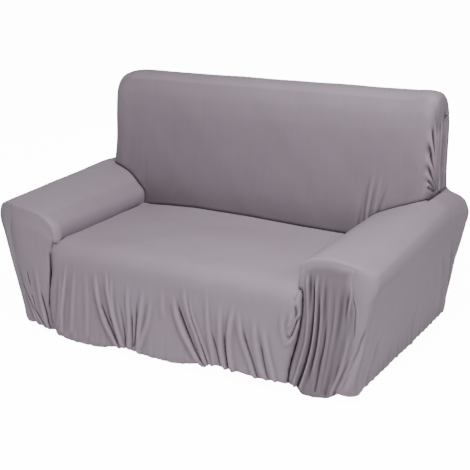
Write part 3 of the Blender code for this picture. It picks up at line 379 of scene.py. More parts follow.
class SideLines:
    """The seam lines of one side as lists of points, worked out for the right-hand half."""

    def __init__(self, side):
        self.side = side
        self.back_half = BACK_HALF[side]
        self.crown = self.crown_points()
        self.section = self.section_at(0.0)
        self.rear_section = self.section_at(1.0)
        self.start_shares = [BACK.share_at_height(point.y) for point in self.rear_section[:END_ROW + 1]]
        self.front = self.front_line()
        self.junction = self.junction_line()
        self.end_face = self.end_face_line()
        self.rear = self.rear_line()
        self.tuck = self.tuck_line()

    def crown_points(self):
        """Across and both heights of each crown row, with rows on the back's rounded corner."""
        table = ARM_CROWN[self.side]
        across = [row[0] for row in table[:4]]
        for step in range(FILLET_STEPS + 1):
            across.append(self.back_half - BACK_FILLET * (1.0 - math.sin(quarter(step, FILLET_STEPS))))
        across += [row[0] for row in table[6:]]
        return [Vector((x, table_value(table, x, 1), table_value(table, x, 2))) for x in across]

    def outer_point(self, row, top):
        """A point of the outer side, from the widest line down to the start of the curl."""
        share = row / SIDE_ROWS
        hem = Vector((HEM_HALF[self.side], HEM_LEVEL + HEM_RADIUS))
        bow = Vector((SIDE_BOW[self.side] * 4.0 * share * (1.0 - share), 0.0))
        return top.lerp(hem, share) + bow

    def section_at(self, share):
        """The arm's section at the front (0) or the back (1) as (across, height), without the curl."""
        start = Vector((INNER_ARM, mix(SEAT_LEVEL - SEAM_DROP, CREASE.y, share)))
        crown = [Vector((point.x, mix(point.y, point.z, share))) for point in self.crown]
        points = [start.lerp(crown[0], row / INNER_ROWS) for row in range(INNER_ROWS)]
        points += crown
        points += [self.outer_point(row, crown[-1]) for row in range(1, SIDE_ROWS + 1)]
        for row in range(END_ROW + 1, len(points)):
            points[row].x += share * REAR_SPREAD * min((row - END_ROW) / SPREAD_ROWS, 1.0)
        return points

    def front_line(self):
        """The seam round the arm's front panel: up the inside, under the arc and down."""
        line = []
        for row in range(END_ROW + 1):
            along = (self.section[row + 1] - self.section[max(row - 1, 0)]).normalized()
            flat = self.section[row] + Vector((along.y, -along.x)) * ARM_FRONT_INSET
            line.append(Vector((flat.x, 0.0, flat.y)))
        lower = Path([line[-1].xz] + list(FRONT_SEAM[self.side]))
        count = LAST_FLAT_ROW - END_ROW
        for row in range(1, count + 1):
            flat = lower.at(row / count)
            line.append(Vector((flat.x, 0.0, flat.y)))
        return with_curl(line, TO_REAR)

    def junction_line(self):
        """The seam of the arm against the inside back, from the crease to the end face."""
        line = [Vector((INNER_ARM, CREASE.x, CREASE.y))]
        for row in range(1, END_ROW - FILLET_STEPS + 1):
            point = self.rear_section[row]
            line.append(Vector((point.x, BACK.at(self.start_shares[row]).x, point.y)))
        for step in range(1, FILLET_STEPS + 1):
            share = self.start_shares[END_ROW - FILLET_STEPS + step]
            line.append(back_corner(share, step, self.back_half))
        return line

    def end_face_line(self):
        """The seam along the back's end: past the dart's foot and round the rear corner."""
        start = self.junction[-1]
        rear_edge = back_corner(REAR_ARM_SHARE, FILLET_STEPS, self.back_half)
        foot = Vector((self.back_half, DART_FOOT, mix(start.z, rear_edge.z, DART_FOOT_SHARE)))
        line = [start.lerp(foot, step / END_STEPS) for step in range(END_STEPS)]
        line += [foot.lerp(rear_edge, step / END_STEPS) for step in range(END_STEPS)]
        rounding = range(FILLET_STEPS, 0, -1)
        return line + [back_corner(REAR_ARM_SHARE, step, self.back_half) for step in rounding]

    def rear_line(self):
        """The vertical seam on the outside back, from the arm's top to the hem."""
        count = LAST_FLAT_ROW - END_ROW
        line = []
        for row in range(count + 1):
            flat = BACK.at(mix(REAR_ARM_SHARE, 1.0, row / count))
            across = mix(self.back_half - BACK_FILLET, REAR_SEAM_HALF, row / count)
            line.append(Vector((across, flat.x, flat.y)))
        return with_curl(line, TO_FRONT)

    def tuck_line(self):
        """The seam between the apron and the arm's front panel, from the seat to the hem."""
        path = Path([self.front[0].xz] + list(TUCK[self.side]))
        line = [self.front[0]]
        for row in range(1, APRON_ROWS + 1):
            flat = path.at(row / APRON_ROWS)
            line.append(Vector((flat.x, 0.0, flat.y)))
        return with_curl(line, TO_REAR)

    def dart_point(self, row):
        """A point of the dart seam: up its front edge to the tip and down its rear edge."""
        foot = self.end_face[END_STEPS]
        tip = Vector((self.back_half, DART_TIP[0], DART_TIP[1]))
        rising = row <= DART_ROW
        share = row / DART_ROW if rising else (UPPER_ROWS - row) / (UPPER_ROWS - DART_ROW)
        width = SLIT * 0.5 * math.sin(math.pi * share ** 0.5) if share < 1.0 else 0.0
        return foot.lerp(tip, share) + Vector((0.0, -width if rising else width, 0.0))

    def arm_row(self, row):
        """One lengthwise row of the arm, from its front seam to its rear end."""
        start = self.front[row]
        flat_row = min(row, LAST_FLAT_ROW)
        flat = self.section[flat_row]
        outer_share = soft((row - END_ROW) / SPREAD_ROWS)
        edge = Vector((flat.x, mix(*ARM_EDGE, outer_share), flat.y))
        if row > flat_row:
            edge = curl(edge, TO_MIDDLE, row - flat_row)
        reach = mix(*ARM_EDGE_REACH, outer_share)
        toward = Vector((edge.x, start.y, edge.z))
        near, far = start.lerp(toward, reach), edge.lerp(toward, reach)
        points = [bezier(start, near, far, edge, t) for t in FRONT_TURN]
        end = self.junction[row] if row <= END_ROW else self.side_point(row)
        points += [edge.lerp(end, step / ARM_COLUMNS) for step in range(1, ARM_COLUMNS + 1)]
        if row == END_ROW:
            points += self.end_face[1:] + [self.rear[0]]
        elif row > END_ROW:
            points += self.rear_turn(row, end)
        return points

    def side_point(self, row):
        """The point of an outer row beside the back's front face."""
        flat_row = min(row, LAST_FLAT_ROW)
        flat = self.rear_section[flat_row]
        point = Vector((flat.x, self.junction[END_ROW].y, flat.y))
        return curl(point, TO_MIDDLE, row - flat_row) if row > flat_row else point

    def rear_turn(self, row, start):
        """The rest of an outer row: back, round the rear corner and in to the rear seam."""
        end = self.rear[row - END_ROW]
        low = max(row - OUTER_START, 0) / (LAST_ROW - OUTER_START)
        radius = mix(REAR_CORNER, REAR_CORNER_HEM, soft(low * CORNER_PACE))
        radius = min(radius, CORNER_ROOM * (start.x - end.x))
        places = [(start.x, mix(start.y, end.y - radius, step / REAR_SIDE_STEPS))
                  for step in range(1, REAR_SIDE_STEPS + 1)]
        for step in range(1, REAR_ARC_STEPS + 1):
            angle = quarter(step, REAR_ARC_STEPS)
            across = start.x - radius * (1.0 - math.cos(angle))
            places.append((across, end.y - radius * (1.0 - math.sin(angle))))
        straight = REAR_STEPS - REAR_SIDE_STEPS - REAR_ARC_STEPS
        places += [(mix(start.x - radius, end.x, step / straight), end.y) for step in range(1, straight + 1)]
        return [Vector((x, y, mix(start.z, end.z, (index + 1) / REAR_STEPS)))
                for index, (x, y) in enumerate(places)]


LINES = {side: SideLines(side) for side in (1, -1)}


def mirrored(vector, side):
    return Vector((vector.x * side, vector.y, vector.z))


# ---------------------------------------------------------------- panels

class Panel:
    """A grid of cloth. Each panel says where its grid points lie and which of its cells exist."""

    flipped = False

    def has_cell(self, column, row):
        return True


class SeatPanel(Panel):
    """The seat deck, its rounded front edge and the apron. Rows run from the hem to the crease."""

    columns = SEAT_CENTRE + 2 * SIDE_ROLL_STEPS
    rows = TUCK_ROWS + BACK_COLUMN
    hem_row = 0

    def side_point(self, side, row):
        """The point of a side's seam at a row, on the right-hand half."""
        if row <= TUCK_ROWS:
            return LINES[side].tuck[TUCK_ROWS - row]
        return LINES[side].arm_row(0)[row - TUCK_ROWS]

    def profile(self, across, row):
        """Depth and height over the width of the seat, away from its side rolls."""
        bulge = SEAT_CROWN * (1.0 - (across / INNER_ARM) ** 2)
        roll_depth = APRON_FRONT + SEAT_ROLL
        if row > TUCK_ROWS + TURN_STEPS:
            share = (row - TUCK_ROWS - TURN_STEPS) / ARM_COLUMNS
            rise = bulge * math.sin(math.pi * min(share * CROWN_PACE + CROWN_START, 1.0))
            height = mix(SEAT_LEVEL, CREASE.y, share ** SEAT_FALL_POWER) + rise
            return Vector((across, mix(roll_depth, CREASE.x, share), height))
        level = SEAT_LEVEL + bulge * math.sin(math.pi * CROWN_START)
        if row >= TUCK_ROWS:
            angle = quarter(row - TUCK_ROWS, TURN_STEPS)
            depth = roll_depth - SEAT_ROLL * math.cos(angle)
            return Vector((across, depth, level - SEAT_ROLL * (1.0 - math.sin(angle))))
        hem = table_value(HEM_SWING, across) + HEM_RADIUS
        height = mix(level - SEAT_ROLL, hem, min((TUCK_ROWS - row) / APRON_ROWS, 1.0))
        point = Vector((across, APRON_FRONT, height))
        return curl(point, TO_REAR, HEM_ROWS - row) if row < HEM_ROWS else point

    def place(self, column, row):
        side = 1 if column > self.columns / 2 else -1
        turn = SIDE_ROLL_STEPS - min(column, self.columns - column)
        if turn <= 0:
            left, right = (s * (self.side_point(s, row).x - SIDE_ROLL) for s in (-1, 1))
            return self.profile(mix(left, right, (column - SIDE_ROLL_STEPS) / SEAT_CENTRE), row)
        edge = mirrored(self.side_point(side, row), side)
        start = self.profile(edge.x - side * SIDE_ROLL, row)
        if row == self.rows:
            return start.lerp(edge, turn / SIDE_ROLL_STEPS)
        angle = quarter(turn, SIDE_ROLL_STEPS)
        fall = 1.0 - math.cos(angle)
        return Vector((
            mix(start.x, edge.x, math.sin(angle)),
            mix(start.y, edge.y, fall),
            mix(start.z, edge.z, fall),
        ))


class BackPanel(Panel):
    """The inside back, the top and the outside back. Rows run from the crease over to the rear hem."""

    flat_columns = CENTRE_COLUMNS + OVER_ARM_COLUMNS
    side_columns = flat_columns + FILLET_STEPS + END_STEPS
    columns = 2 * side_columns
    rear_start = LOWER_BACK_ROWS + UPPER_ROWS
    rows = rear_start + LAST_ROW - END_ROW
    hem_row = rows

    def has_cell(self, column, row):
        """The arms take the place of the lower corners, in front and behind."""
        outer = max(abs(column - self.side_columns), abs(column + 1 - self.side_columns))
        if row < LOWER_BACK_ROWS:
            return outer <= CENTRE_COLUMNS
        return row < self.rear_start or outer <= self.flat_columns

    def upper_share(self, lines, row, outer):
        """The share of the section at a row above the arms."""
        start = lines.start_shares[NOTCH_ROW]
        if row <= RISE_ROWS:
            share = mix(start, FRONT_TOP_SHARE, row / RISE_ROWS)
        elif row <= RISE_ROWS + ROLL_ROWS:
            share = mix(FRONT_TOP_SHARE, REAR_TOP_SHARE, (row - RISE_ROWS) / ROLL_ROWS)
        else:
            share = mix(REAR_TOP_SHARE, REAR_ARM_SHARE, (row - RISE_ROWS - ROLL_ROWS) / FALL_ROWS)
        over = max(outer - CENTRE_COLUMNS, 0)
        own_start = lines.start_shares[min(NOTCH_ROW + over, END_ROW)]
        return share + (own_start - start) * max(1.0 - row / RISE_ROWS, 0.0)

    def place(self, column, row):
        side = 1 if column >= self.side_columns else -1
        outer = abs(column - self.side_columns)
        lines = LINES[side]
        if row < LOWER_BACK_ROWS:
            edge = lines.junction[row]
            return Vector((side * edge.x * min(outer / CENTRE_COLUMNS, 1.0), edge.y, edge.z))
        if outer <= CENTRE_COLUMNS:
            across = lines.junction[NOTCH_ROW].x * outer / CENTRE_COLUMNS
        else:
            across = lines.crown[1 + min(outer - CENTRE_COLUMNS, OVER_ARM_COLUMNS)].x
        if row >= self.rear_start and outer <= self.flat_columns:
            seam = lines.rear[row - self.rear_start]
            return Vector((side * across * seam.x / lines.rear[0].x, seam.y, seam.z))
        upper = row - LOWER_BACK_ROWS
        share = self.upper_share(lines, upper, outer)
        step = outer - self.flat_columns
        if step <= 0:
            flat = BACK.at(share)
            point = Vector((across, flat.x, flat.y))
        else:
            point = back_corner(share, min(step, FILLET_STEPS), lines.back_half)
        sink = soft((point.x - TOP_CORNER_START) / (lines.back_half - TOP_CORNER_START)) ** 2
        high = soft((point.z - (BACK_TOP - TOP_CORNER_REACH)) / TOP_CORNER_REACH)
        point.z -= TOP_CORNER_DROP[side] * sink * high
        if step > FILLET_STEPS:
            point = point.lerp(lines.dart_point(upper), (step - FILLET_STEPS) / END_STEPS)
        return mirrored(point, side)


class ArmPanel(Panel):
    """Inner face, top and outer side of an arm. Rows run over it, columns from front to rear."""

    columns = BACK_COLUMN + REAR_STEPS
    rows = LAST_ROW
    hem_row = rows

    def __init__(self, side):
        self.side = side
        self.flipped = side > 0
        self.points = [LINES[side].arm_row(row) for row in range(LAST_ROW + 1)]

    def has_cell(self, column, row):
        """The back takes the place of the inner rear corner."""
        return row >= END_ROW or column < BACK_COLUMN

    def place(self, column, row):
        points = self.points[row]
        return mirrored(points[min(column, len(points) - 1)], self.side)


class FrontPanel(Panel):
    """The gathered panel on an arm's front. Columns run outward, rows from the hem up."""

    columns = (END_ROW - INNER_ROWS) * FRONT_SPLIT
    rows = TUCK_ROWS + INNER_ROWS
    hem_row = 0

    def __init__(self, side):
        self.side = side
        self.flipped = side < 0
        self.lines = LINES[side]

    def left(self, row):
        lines = self.lines
        return lines.tuck[TUCK_ROWS - row] if row <= TUCK_ROWS else lines.front[row - TUCK_ROWS]

    def right(self, row):
        return self.lines.front[LAST_ROW - row]

    def top(self, column):
        whole, part = divmod(column, FRONT_SPLIT)
        seam = self.lines.front[INNER_ROWS + whole:]
        return seam[0].lerp(seam[1], part / FRONT_SPLIT) if part else seam[0]

    def place(self, column, row):
        """Ruled between its sides, and bent so that its top and bottom follow their own lines."""
        u = column / self.columns
        v = row / self.rows
        low = self.left(0).lerp(self.right(0), u)
        high = self.left(self.rows).lerp(self.right(self.rows), u)
        bottom = low - Z_UP * table_value(FRONT_SAG[self.side], u)
        ruled = self.left(row).lerp(self.right(row), u)
        point = ruled + bottom.lerp(self.top(column), v) - low.lerp(high, v)
        point.y -= FRONT_SWELL * math.sin(math.pi * u) * soft((1.0 - v) * SWELL_PACE)
        return mirrored(point, self.side)


# ---------------------------------------------------------------- fine cloth

def line_tangents(points, steps):
    """Tangents of many lines at once, each measured along its own length."""
    slopes = np.diff(points, axis=0) / steps[:, :, None]
    tangents = np.empty_like(points)
    before = steps[:-1, :, None]
    after = steps[1:, :, None]
    tangents[1:-1] = (slopes[:-1] * after + slopes[1:] * before) / (before + after)
    if len(points) > 2:
        tangents[0] = slopes[0] * 1.5 - tangents[1] * 0.5
        tangents[-1] = slopes[-1] * 1.5 - tangents[-2] * 0.5
    else:
        tangents[:] = slopes[0]
    return tangents


def coarse_cells(places, count):
    """The coarse cell in which each fractional place lies."""
    return np.clip(np.floor(places + TINY).astype(int), 0, count - 1)


def refine_lines(values, places):
    """Smooth curves along axis 0 through the points that exist, read at fractional places."""
    count, lines = values.shape[:2]
    fine = np.full((len(places), lines, 3), np.nan)
    present = ~np.isnan(values[:, :, 0])
    first = present.argmax(axis=0)
    last = count - 1 - present[::-1].argmax(axis=0)
    last[~present.any(axis=0)] = -1
    for low, high in sorted(set(zip(first.tolist(), last.tolist()))):
        if high <= low:
            continue
        chosen = np.nonzero((first == low) & (last == high))[0]
        points = values[low:high + 1][:, chosen]
        steps = np.maximum(np.linalg.norm(np.diff(points, axis=0), axis=2), 1e-6)
        tangents = line_tangents(points, steps)
        inside = np.nonzero((places >= low - TINY) & (places <= high + TINY))[0]
        spot = places[inside] - low
        index = coarse_cells(spot, high - low)
        t = (spot - index)[:, None, None]
        length = steps[index][:, :, None]
        curve = points[index] * (2 * t**3 - 3 * t**2 + 1) + tangents[index] * length * (t**3 - 2 * t**2 + t)
        curve += points[index + 1] * (3 * t**2 - 2 * t**3) + tangents[index + 1] * length * (t**3 - t**2)
        fine[np.ix_(inside, chosen)] = curve
    return fine


def fine_places(coarse, cell, tight, finer):
    """Fractional places along axis 0: about a cell apart, and closer beside the sewn borders.

    Coarse steps named in the finer table have a cell of their own.
    """
    lengths = np.nanmedian(np.linalg.norm(np.diff(coarse, axis=0), axis=2), axis=1)
    places = []
    for index, length in enumerate(lengths):
        steps = max(int(math.ceil(length / finer.get(index, cell))), 1)
        near_start, near_end = index in tight, index + 1 in tight
        if near_start or near_end:
            steps += TIGHT_STEPS
        share = np.arange(steps) / steps
        if near_start and near_end:
            share = 0.5 - 0.5 * np.cos(math.pi * share)
        elif near_start:
            share = share ** TIGHT_POWER
        elif near_end:
            share = 1.0 - (1.0 - share) ** TIGHT_POWER
        places.append(index + share)
    places.append([len(lengths)])
    return np.concatenate(places)


class FineCloth:
    """A panel refined to smooth cloth: places, normals, cells and distances from its seams."""

    def __init__(self, panel, sizes, tight_columns, tight_rows, finer_columns={}, finer_rows={}):
        self.panel = panel
        self.blur = [int(round(2 * (HOLLOW_REACH / size) ** 2)) for size in sizes]
        coarse = np.full((panel.columns + 1, panel.rows + 1, 3), np.nan)
        cells = np.zeros((panel.columns, panel.rows), bool)
        for column, row in np.ndindex(cells.shape):
            if panel.has_cell(column, row):
                cells[column, row] = True
                for spot in ((column, row), (column + 1, row), (column, row + 1), (column + 1, row + 1)):
                    if np.isnan(coarse[spot][0]):
                        coarse[spot] = panel.place(*spot)
        self.columns = fine_places(coarse, sizes[0], tight_columns, finer_columns)
        self.rows = fine_places(np.swapaxes(coarse, 0, 1), sizes[1], tight_rows, finer_rows)
        half = refine_lines(coarse, self.columns)
        self.points = np.swapaxes(refine_lines(np.swapaxes(half, 0, 1), self.rows), 0, 1)
        self.cells = cells[np.ix_(coarse_cells(self.columns[:-1], panel.columns),
                                  coarse_cells(self.rows[:-1], panel.rows))]
        self.used = np.zeros(self.points.shape[:2], bool)
        for a in (0, 1):
            for b in (0, 1):
                self.used[a:len(self.columns) - 1 + a, b:len(self.rows) - 1 + b] |= self.cells
        self.points[~self.used] = np.nan
        self.rest = self.points.copy()
        self.normals = self.find_normals()
        self.measure_seams()

    def find_normals(self):
        normal = np.cross(self.slopes(0), self.slopes(1))
        if self.panel.flipped:
            normal = -normal
        return normal / np.maximum(np.linalg.norm(normal, axis=2, keepdims=True), 1e-12)

    def slopes(self, axis):
        """Central differences that turn one-sided where a neighbour is missing."""
        grid = self.points if axis == 0 else np.swapaxes(self.points, 0, 1)
        steps = np.diff(grid, axis=0)
        steps = steps / np.maximum(np.linalg.norm(steps, axis=2, keepdims=True), TINY)
        ahead = np.full_like(grid, np.nan)
        behind = np.full_like(grid, np.nan)
        ahead[:-1] = steps
        behind[1:] = steps
        slope = np.where(np.isnan(ahead), behind, np.where(np.isnan(behind), ahead, ahead + behind))
        slope = np.nan_to_num(slope)
        return slope if axis == 0 else np.swapaxes(slope, 0, 1)

    def measure_seams(self):
        """Distance of every point from the nearest sewn border, and the place along that border."""
        width, height = self.cells.shape
        padded = np.zeros((width + 2, height + 2), bool)
        padded[1:-1, 1:-1] = self.cells
        upright = padded[1:, 1:-1] != padded[:-1, 1:-1]
        level = padded[1:-1, 1:] != padded[1:-1, :-1]
        edges = [((column, row), (column, row + 1)) for column, row in zip(*np.nonzero(upright))]
        edges += [((column, row), (column + 1, row)) for column, row in zip(*np.nonzero(level))]
        hem_row = self.panel.hem_row
        self.sewn = [edge for edge in edges if not all(self.rows[spot[1]] == hem_row for spot in edge)]
        self.edges_at = {}
        for edge in self.sewn:
            for column, row in edge:
                self.edges_at.setdefault((int(column), int(row)), []).append(edge)
        self.spots = sorted(self.edges_at)
        self.tree = kdtree.KDTree(len(self.spots))
        for index, spot in enumerate(self.spots):
            self.tree.insert(self.points[spot], index)
        self.tree.balance()
        self.seam_distance = np.full(self.used.shape, 1.0)
        self.seam_index = np.zeros(self.used.shape, int)
        for column, row in zip(*np.nonzero(self.used)):
            _, index, distance = self.tree.find(self.points[column, row])
            self.seam_distance[column, row] = distance
            self.seam_index[column, row] = index
        self.seam_spot = np.array([self.points[spot] for spot in self.spots])[self.seam_index]

    def meet(self, others):
        """Into the cover at each sewn border point, square to this cloth and to its neighbour there."""
        into = []
        for spot in self.spots:
            normal = self.normals[spot].copy()
            finds = [(other.tree.find(self.points[spot]), other) for other in others if other is not self]
            (_, index, distance), other = min(finds, key=lambda item: item[0][2])
            if distance < SEAM_SEARCH:
                normal += other.normals[other.spots[index]]
            into.append(-normal / max(np.linalg.norm(normal), TINY))
        self.into = np.array(into)

    def bow(self):
        """Raise the crease at the back of the seat on the table's line."""
        far = np.hypot(self.points[:, :, 1] - CREASE.x, self.points[:, :, 2] - CREASE.y)
        rise = np.interp(np.nan_to_num(self.points[:, :, 0]), *zip(*CREASE_BOW))
        self.points[:, :, 2] += rise * np.exp(-far / BOW_REACH)
        self.measure_seams()

    def relax(self):
        """Even out the top of the cloth, away from its seams."""
        weight = soft(self.seam_distance / RELAX_EDGE) * facing(self.normals[:, :, 2], RELAX_FACING)
        for _ in range(RELAX_ROUNDS):
            for axis in range(3):
                even = smoothed(np.nan_to_num(self.points[:, :, axis]), self.used, RELAX_BLUR)
                self.points[:, :, axis] += weight * (even - self.points[:, :, axis])

    def snap(self, others):
        """Bring the sewn border onto the borders of panels already laid, and the cloth beside it."""
        shift = np.zeros((len(self.spots), 3))
        for number, spot in enumerate(self.spots):
            point = np.array(self.points[spot])
            best = SEAM_SEARCH
            for other in others:
                _, index, _ = other.tree.find(point)
                for start, end in other.edges_at[other.spots[index]]:
                    a, b = other.points[start], other.points[end]
                    t = np.clip(np.dot(point - a, b - a) / max(np.dot(b - a, b - a), 1e-12), 0.0, 1.0)
                    move = a + t * (b - a) - point
                    if np.linalg.norm(move) < best:
                        best = np.linalg.norm(move)
                        shift[number] = move
        self.points += shift[self.seam_index] * np.exp(-self.seam_distance / SNAP_REACH)[:, :, None]
        self.rest = self.points.copy()
        self.normals = self.find_normals()

    def push(self, amount):
        """Move the cloth outward along its normals."""
        self.points += self.normals * amount[:, :, None]

    def build(self, name, material):
        """The mesh: the fine grid with its sewn edges turned in, and its cloth's thickness."""
        numbers = -np.ones(self.used.shape, int)
        numbers[self.used] = np.arange(self.used.sum())
        points = self.points[self.used]
        corners = (numbers[:-1, :-1], numbers[1:, :-1], numbers[1:, 1:], numbers[:-1, 1:])
        faces = np.stack([corner[self.cells] for corner in corners], axis=1)
        if self.panel.flipped:
            faces = faces[:, ::-1]
        faces = faces.tolist()
        turned, extra = {}, []
        for spot in (spot for edge in self.sewn for spot in edge):
            if spot not in turned:
                turned[spot] = len(points) + len(extra)
                extra.append(self.points[spot] + self.into[self.seam_index[spot]] * TURN_IN)
        sides = {pair for face in faces for pair in zip(face, face[1:] + face[:1])}
        for start, end in self.sewn:
            first, second = int(numbers[start]), int(numbers[end])
            if (first, second) in sides:
                faces.append([second, first, turned[start], turned[end]])
            else:
                faces.append([first, second, turned[end], turned[start]])
        mesh = bpy.data.meshes.new(name)
        everything = np.concatenate([points, np.array(extra)]) - np.array(HANG)
        mesh.from_pydata(everything.tolist(), [], faces)
        flat = self.flat_places()
        spots = np.concatenate([flat[self.used], np.array([flat[spot] for spot in turned])])
        layer = mesh.uv_layers.new(name="cloth")
        loops = np.empty(len(mesh.loops), int)
        mesh.loops.foreach_get("vertex_index", loops)
        layer.data.foreach_set("uv", spots[loops].ravel())
        mesh.polygons.foreach_set("use_smooth", [True] * len(mesh.polygons))
        # painted shade for the material, from the relief, the seams and the corners
        shade = mesh.attributes.new("painted_shade", 'FLOAT', 'POINT')
        painted_shade = np.concatenate([self.painted_shade()[self.used], np.ones(len(extra))])
        shade.data.foreach_set("value", painted_shade)
        mesh.materials.append(material)
        mesh.validate()
        piece = link_object(name, mesh)
        thickness = piece.modifiers.new("cloth", 'SOLIDIFY')
        thickness.thickness = CLOTH
        thickness.offset = -1.0
        return piece

    def flat_places(self):
        """Each point's place on the flat cloth, in metres along its columns and rows."""
        flat = np.zeros(self.used.shape + (2,))
        across = np.nan_to_num(np.linalg.norm(np.diff(self.rest, axis=0), axis=2)).mean(axis=1)
        upward = np.nan_to_num(np.linalg.norm(np.diff(self.rest, axis=1), axis=2)).mean(axis=0)
        flat[1:, :, 0] = np.cumsum(across)[:, None]
        flat[:, 1:, 1] = np.cumsum(upward)[None, :]
        return flat

    def painted_shade(self):
        """Painted light and shade at each point: how far it lies behind the cloth round it, from 0 on a
        ridge to 1 in a groove, with painted shade along the seams and in the corners added.
        """
        around = smoothed(self.relief, self.used, self.blur)
        sunk = np.clip((around - self.relief) / HOLLOW_DEPTH, -1.0, 1.0)
        # painted shade along the seams, darker where they are drawn in harder
        line = LINE_SHADE * seam_pull(self.seam_spot) * np.exp(-(self.seam_distance / LINE_REACH) ** 2)
        return 0.5 + 0.5 * np.clip(sunk + line + self.corner_shade(), -1.0, 1.0)

    def corner_shade(self):
        """How far each point is shut off from the light: beside the seat, in gathers and in tucks."""
        X, Y, Z = (np.nan_to_num(self.rest[:, :, axis]) for axis in range(3))
        panel = self.panel
        rise = np.maximum(Z - CREASE.y, 0.0)
        if isinstance(panel, BackPanel):
            behind = np.hypot(np.maximum(BACK_LEAN_FOOT - Y, 0.0), rise)
            beside = np.hypot(INNER_ARM - np.minimum(np.abs(X), INNER_ARM), rise)
            foot = BACK_SHADE * np.exp(-behind / BACK_SHADE_REACH)
            sides = BACK_SIDE_SHADE * np.exp(-beside / SIDE_SHADE_REACH)
            # painted shade over the inside back, more at its foot and beside the arms
            return (Y < INSIDE_DEPTH) * (BACK_PAINTED_SHADE + foot + sides)
        if isinstance(panel, ArmPanel):
            inner_face = (np.abs(X) < INNER_FACE_REACH) & (Y > INNER_FACE_START)
            return inner_face * ARM_SHADE * np.exp(-rise / SIDE_SHADE_REACH)
        shade = (np.abs(X) < TUCK_SIDE) * TUCK_SHADE * np.exp(-self.seam_distance / TUCK_REACH)
        shade *= soft((TUCK_TOP - Z) / TUCK_TOP_FADE) * soft((Z - TUCK_FOOT) / TUCK_FOOT_FADE)
        if isinstance(panel, FrontPanel) and panel.side > 0:
            shade += GATHER_SHADE * soft(self.seam_distance / GATHER_EDGE)
        return shade


def facing(share, limits):
    """From 0 to 1 as a normal's share of some direction passes its limit, over a range."""
    start, span = limits
    return soft((share - start) / span)


def smoothed(values, used, rounds):
    """A blur over the cells that exist, with so many rounds along each axis."""
    weight = used.astype(float)
    total = np.where(used, values, 0.0)
    for axis in (0, 1):
        for _ in range(rounds[axis]):
            total, weight = (spread(field, axis) for field in (total, weight))
    return total / np.maximum(weight, TINY)


def spread(field, axis):
    ahead = np.roll(field, 1, axis)
    behind = np.roll(field, -1, axis)
    if axis == 0:
        ahead[0], behind[-1] = field[0], field[-1]
    else:
        ahead[:, 0], behind[:, -1] = field[:, 0], field[:, -1]
    return field * 0.5 + (ahead + behind) * 0.25


def fold(A, B, knots, width, depth, grow, fade, lean):
    """One ridge, or a groove if its depth is negative, along a curve in a plane.

    It grows from nothing over its first share, fades over its last, and leans to one side.
    """
    path = np.array(curve_through(knots, FOLD_STEPS))
    lengths = np.concatenate([[0.0], np.cumsum(np.linalg.norm(np.diff(path, axis=0), axis=1))])
    low, high = path.min(axis=0) - 4 * width, path.max(axis=0) + 4 * width
    near = (A > low[0]) & (A < high[0]) & (B > low[1]) & (B < high[1])
    a, b = A[near], B[near]
    best = np.full(a.shape, 1.0)
    signed = np.zeros(a.shape)
    place = np.zeros(a.shape)
    for index in range(len(path) - 1):
        start, step = path[index], path[index + 1] - path[index]
        size = max(np.hypot(*step), TINY)
        t = np.clip(((a - start[0]) * step[0] + (b - start[1]) * step[1]) / size**2, 0.0, 1.0)
        da, db = a - start[0] - t * step[0], b - start[1] - t * step[1]
        distance = np.hypot(da, db)
        closer = distance < best
        best = np.where(closer, distance, best)
        signed = np.where(closer, (da * step[1] - db * step[0]) / size, signed)
        place = np.where(closer, (lengths[index] + t * size) / lengths[-1], place)
    side_width = width * (1.0 + lean * np.sign(signed))
    amount = depth * np.exp(-(best / side_width) ** 2) * soft(place / grow)
    if fade:
        amount *= soft((1.0 - place) / fade)
    field = np.zeros(A.shape)
    field[near] = amount
    return field


def fold_table(A, B, table):
    """All the folds of a table, laid over one another."""
    total = np.zeros(A.shape)
    for width, depth, grow, fade, lean, *knots in table:
        knots = [np.array(knot) / PER_METRE for knot in knots]
        total += fold(A, B, knots, width / PER_METRE, depth / PER_METRE, grow, fade, lean)
    return total


def ripple(A, B):
    """Slow unevenness: a sum of a few waves."""
    total = np.zeros(A.shape)
    for height, across, upward, phase in UNEVEN:
        total += height * np.sin(A / across * math.tau + phase) * np.cos(B / upward * math.tau + phase * 1.7)
    return total


def two_waves(along, pitch, share, ratio, phase):
    """A wave and a weaker one of another pitch, so that no two gathers are alike."""
    turn = along / pitch * math.tau
    return np.sin(turn) + share * np.sin(turn * ratio + phase)


def seam_pull(spot):
    """How hard each seam is drawn in: hardly over an arm's front, most at the tucks beside it."""
    across, depth, height = np.abs(spot[:, :, 0]), spot[:, :, 1], spot[:, :, 2]
    front = depth < FRONT_DEPTH
    tuck = front * (across < TUCK_SEAM_SIDE) * soft((TUCK_SEAM_TOP - height) / TUCK_TOP_FADE)
    pull = np.where(front, FRONT_PULL, EDGE_PULL + SEAT_PULL * soft(depth / SEAT_PULL_DEPTH))
    pull = np.where((depth > REAR_SEAM_DEPTH) & (height < REAR_SEAM_TOP), REAR_PULL, pull)
    from_corner = np.hypot(np.hypot(across - INNER_ARM, depth - CREASE.x), height - CREASE.y)
    pull = pull * (1.0 - np.exp(-(from_corner / CORNER_REACH) ** 2))
    return pull + tuck * (np.where(spot[:, :, 0] > 0, TUCK_PULL[1], TUCK_PULL[-1]) - pull)


def sew(cloth):
    """Draw the cloth in along its seams, with small puckers beside them."""
    distance = cloth.seam_distance
    pull = seam_pull(cloth.seam_spot)
    along = (cloth.seam_spot * np.array(PUCKER_COURSE)).sum(axis=2)
    drawn = SEAM_SINK * pull * np.exp(-(distance / SEAM_REACH) ** 2)
    cloth.points += cloth.into[cloth.seam_index] * drawn[:, :, None]
    wave = two_waves(along, PUCKER_PITCH, share=0.6, ratio=0.61, phase=1.0)
    puckers = PUCKER_HEIGHT * np.sqrt(pull) * wave
    cloth.push(puckers * np.exp(-distance / PUCKER_REACH) * soft(distance / SEAM_REACH))


# ---------------------------------------------------------------- the cover's folds

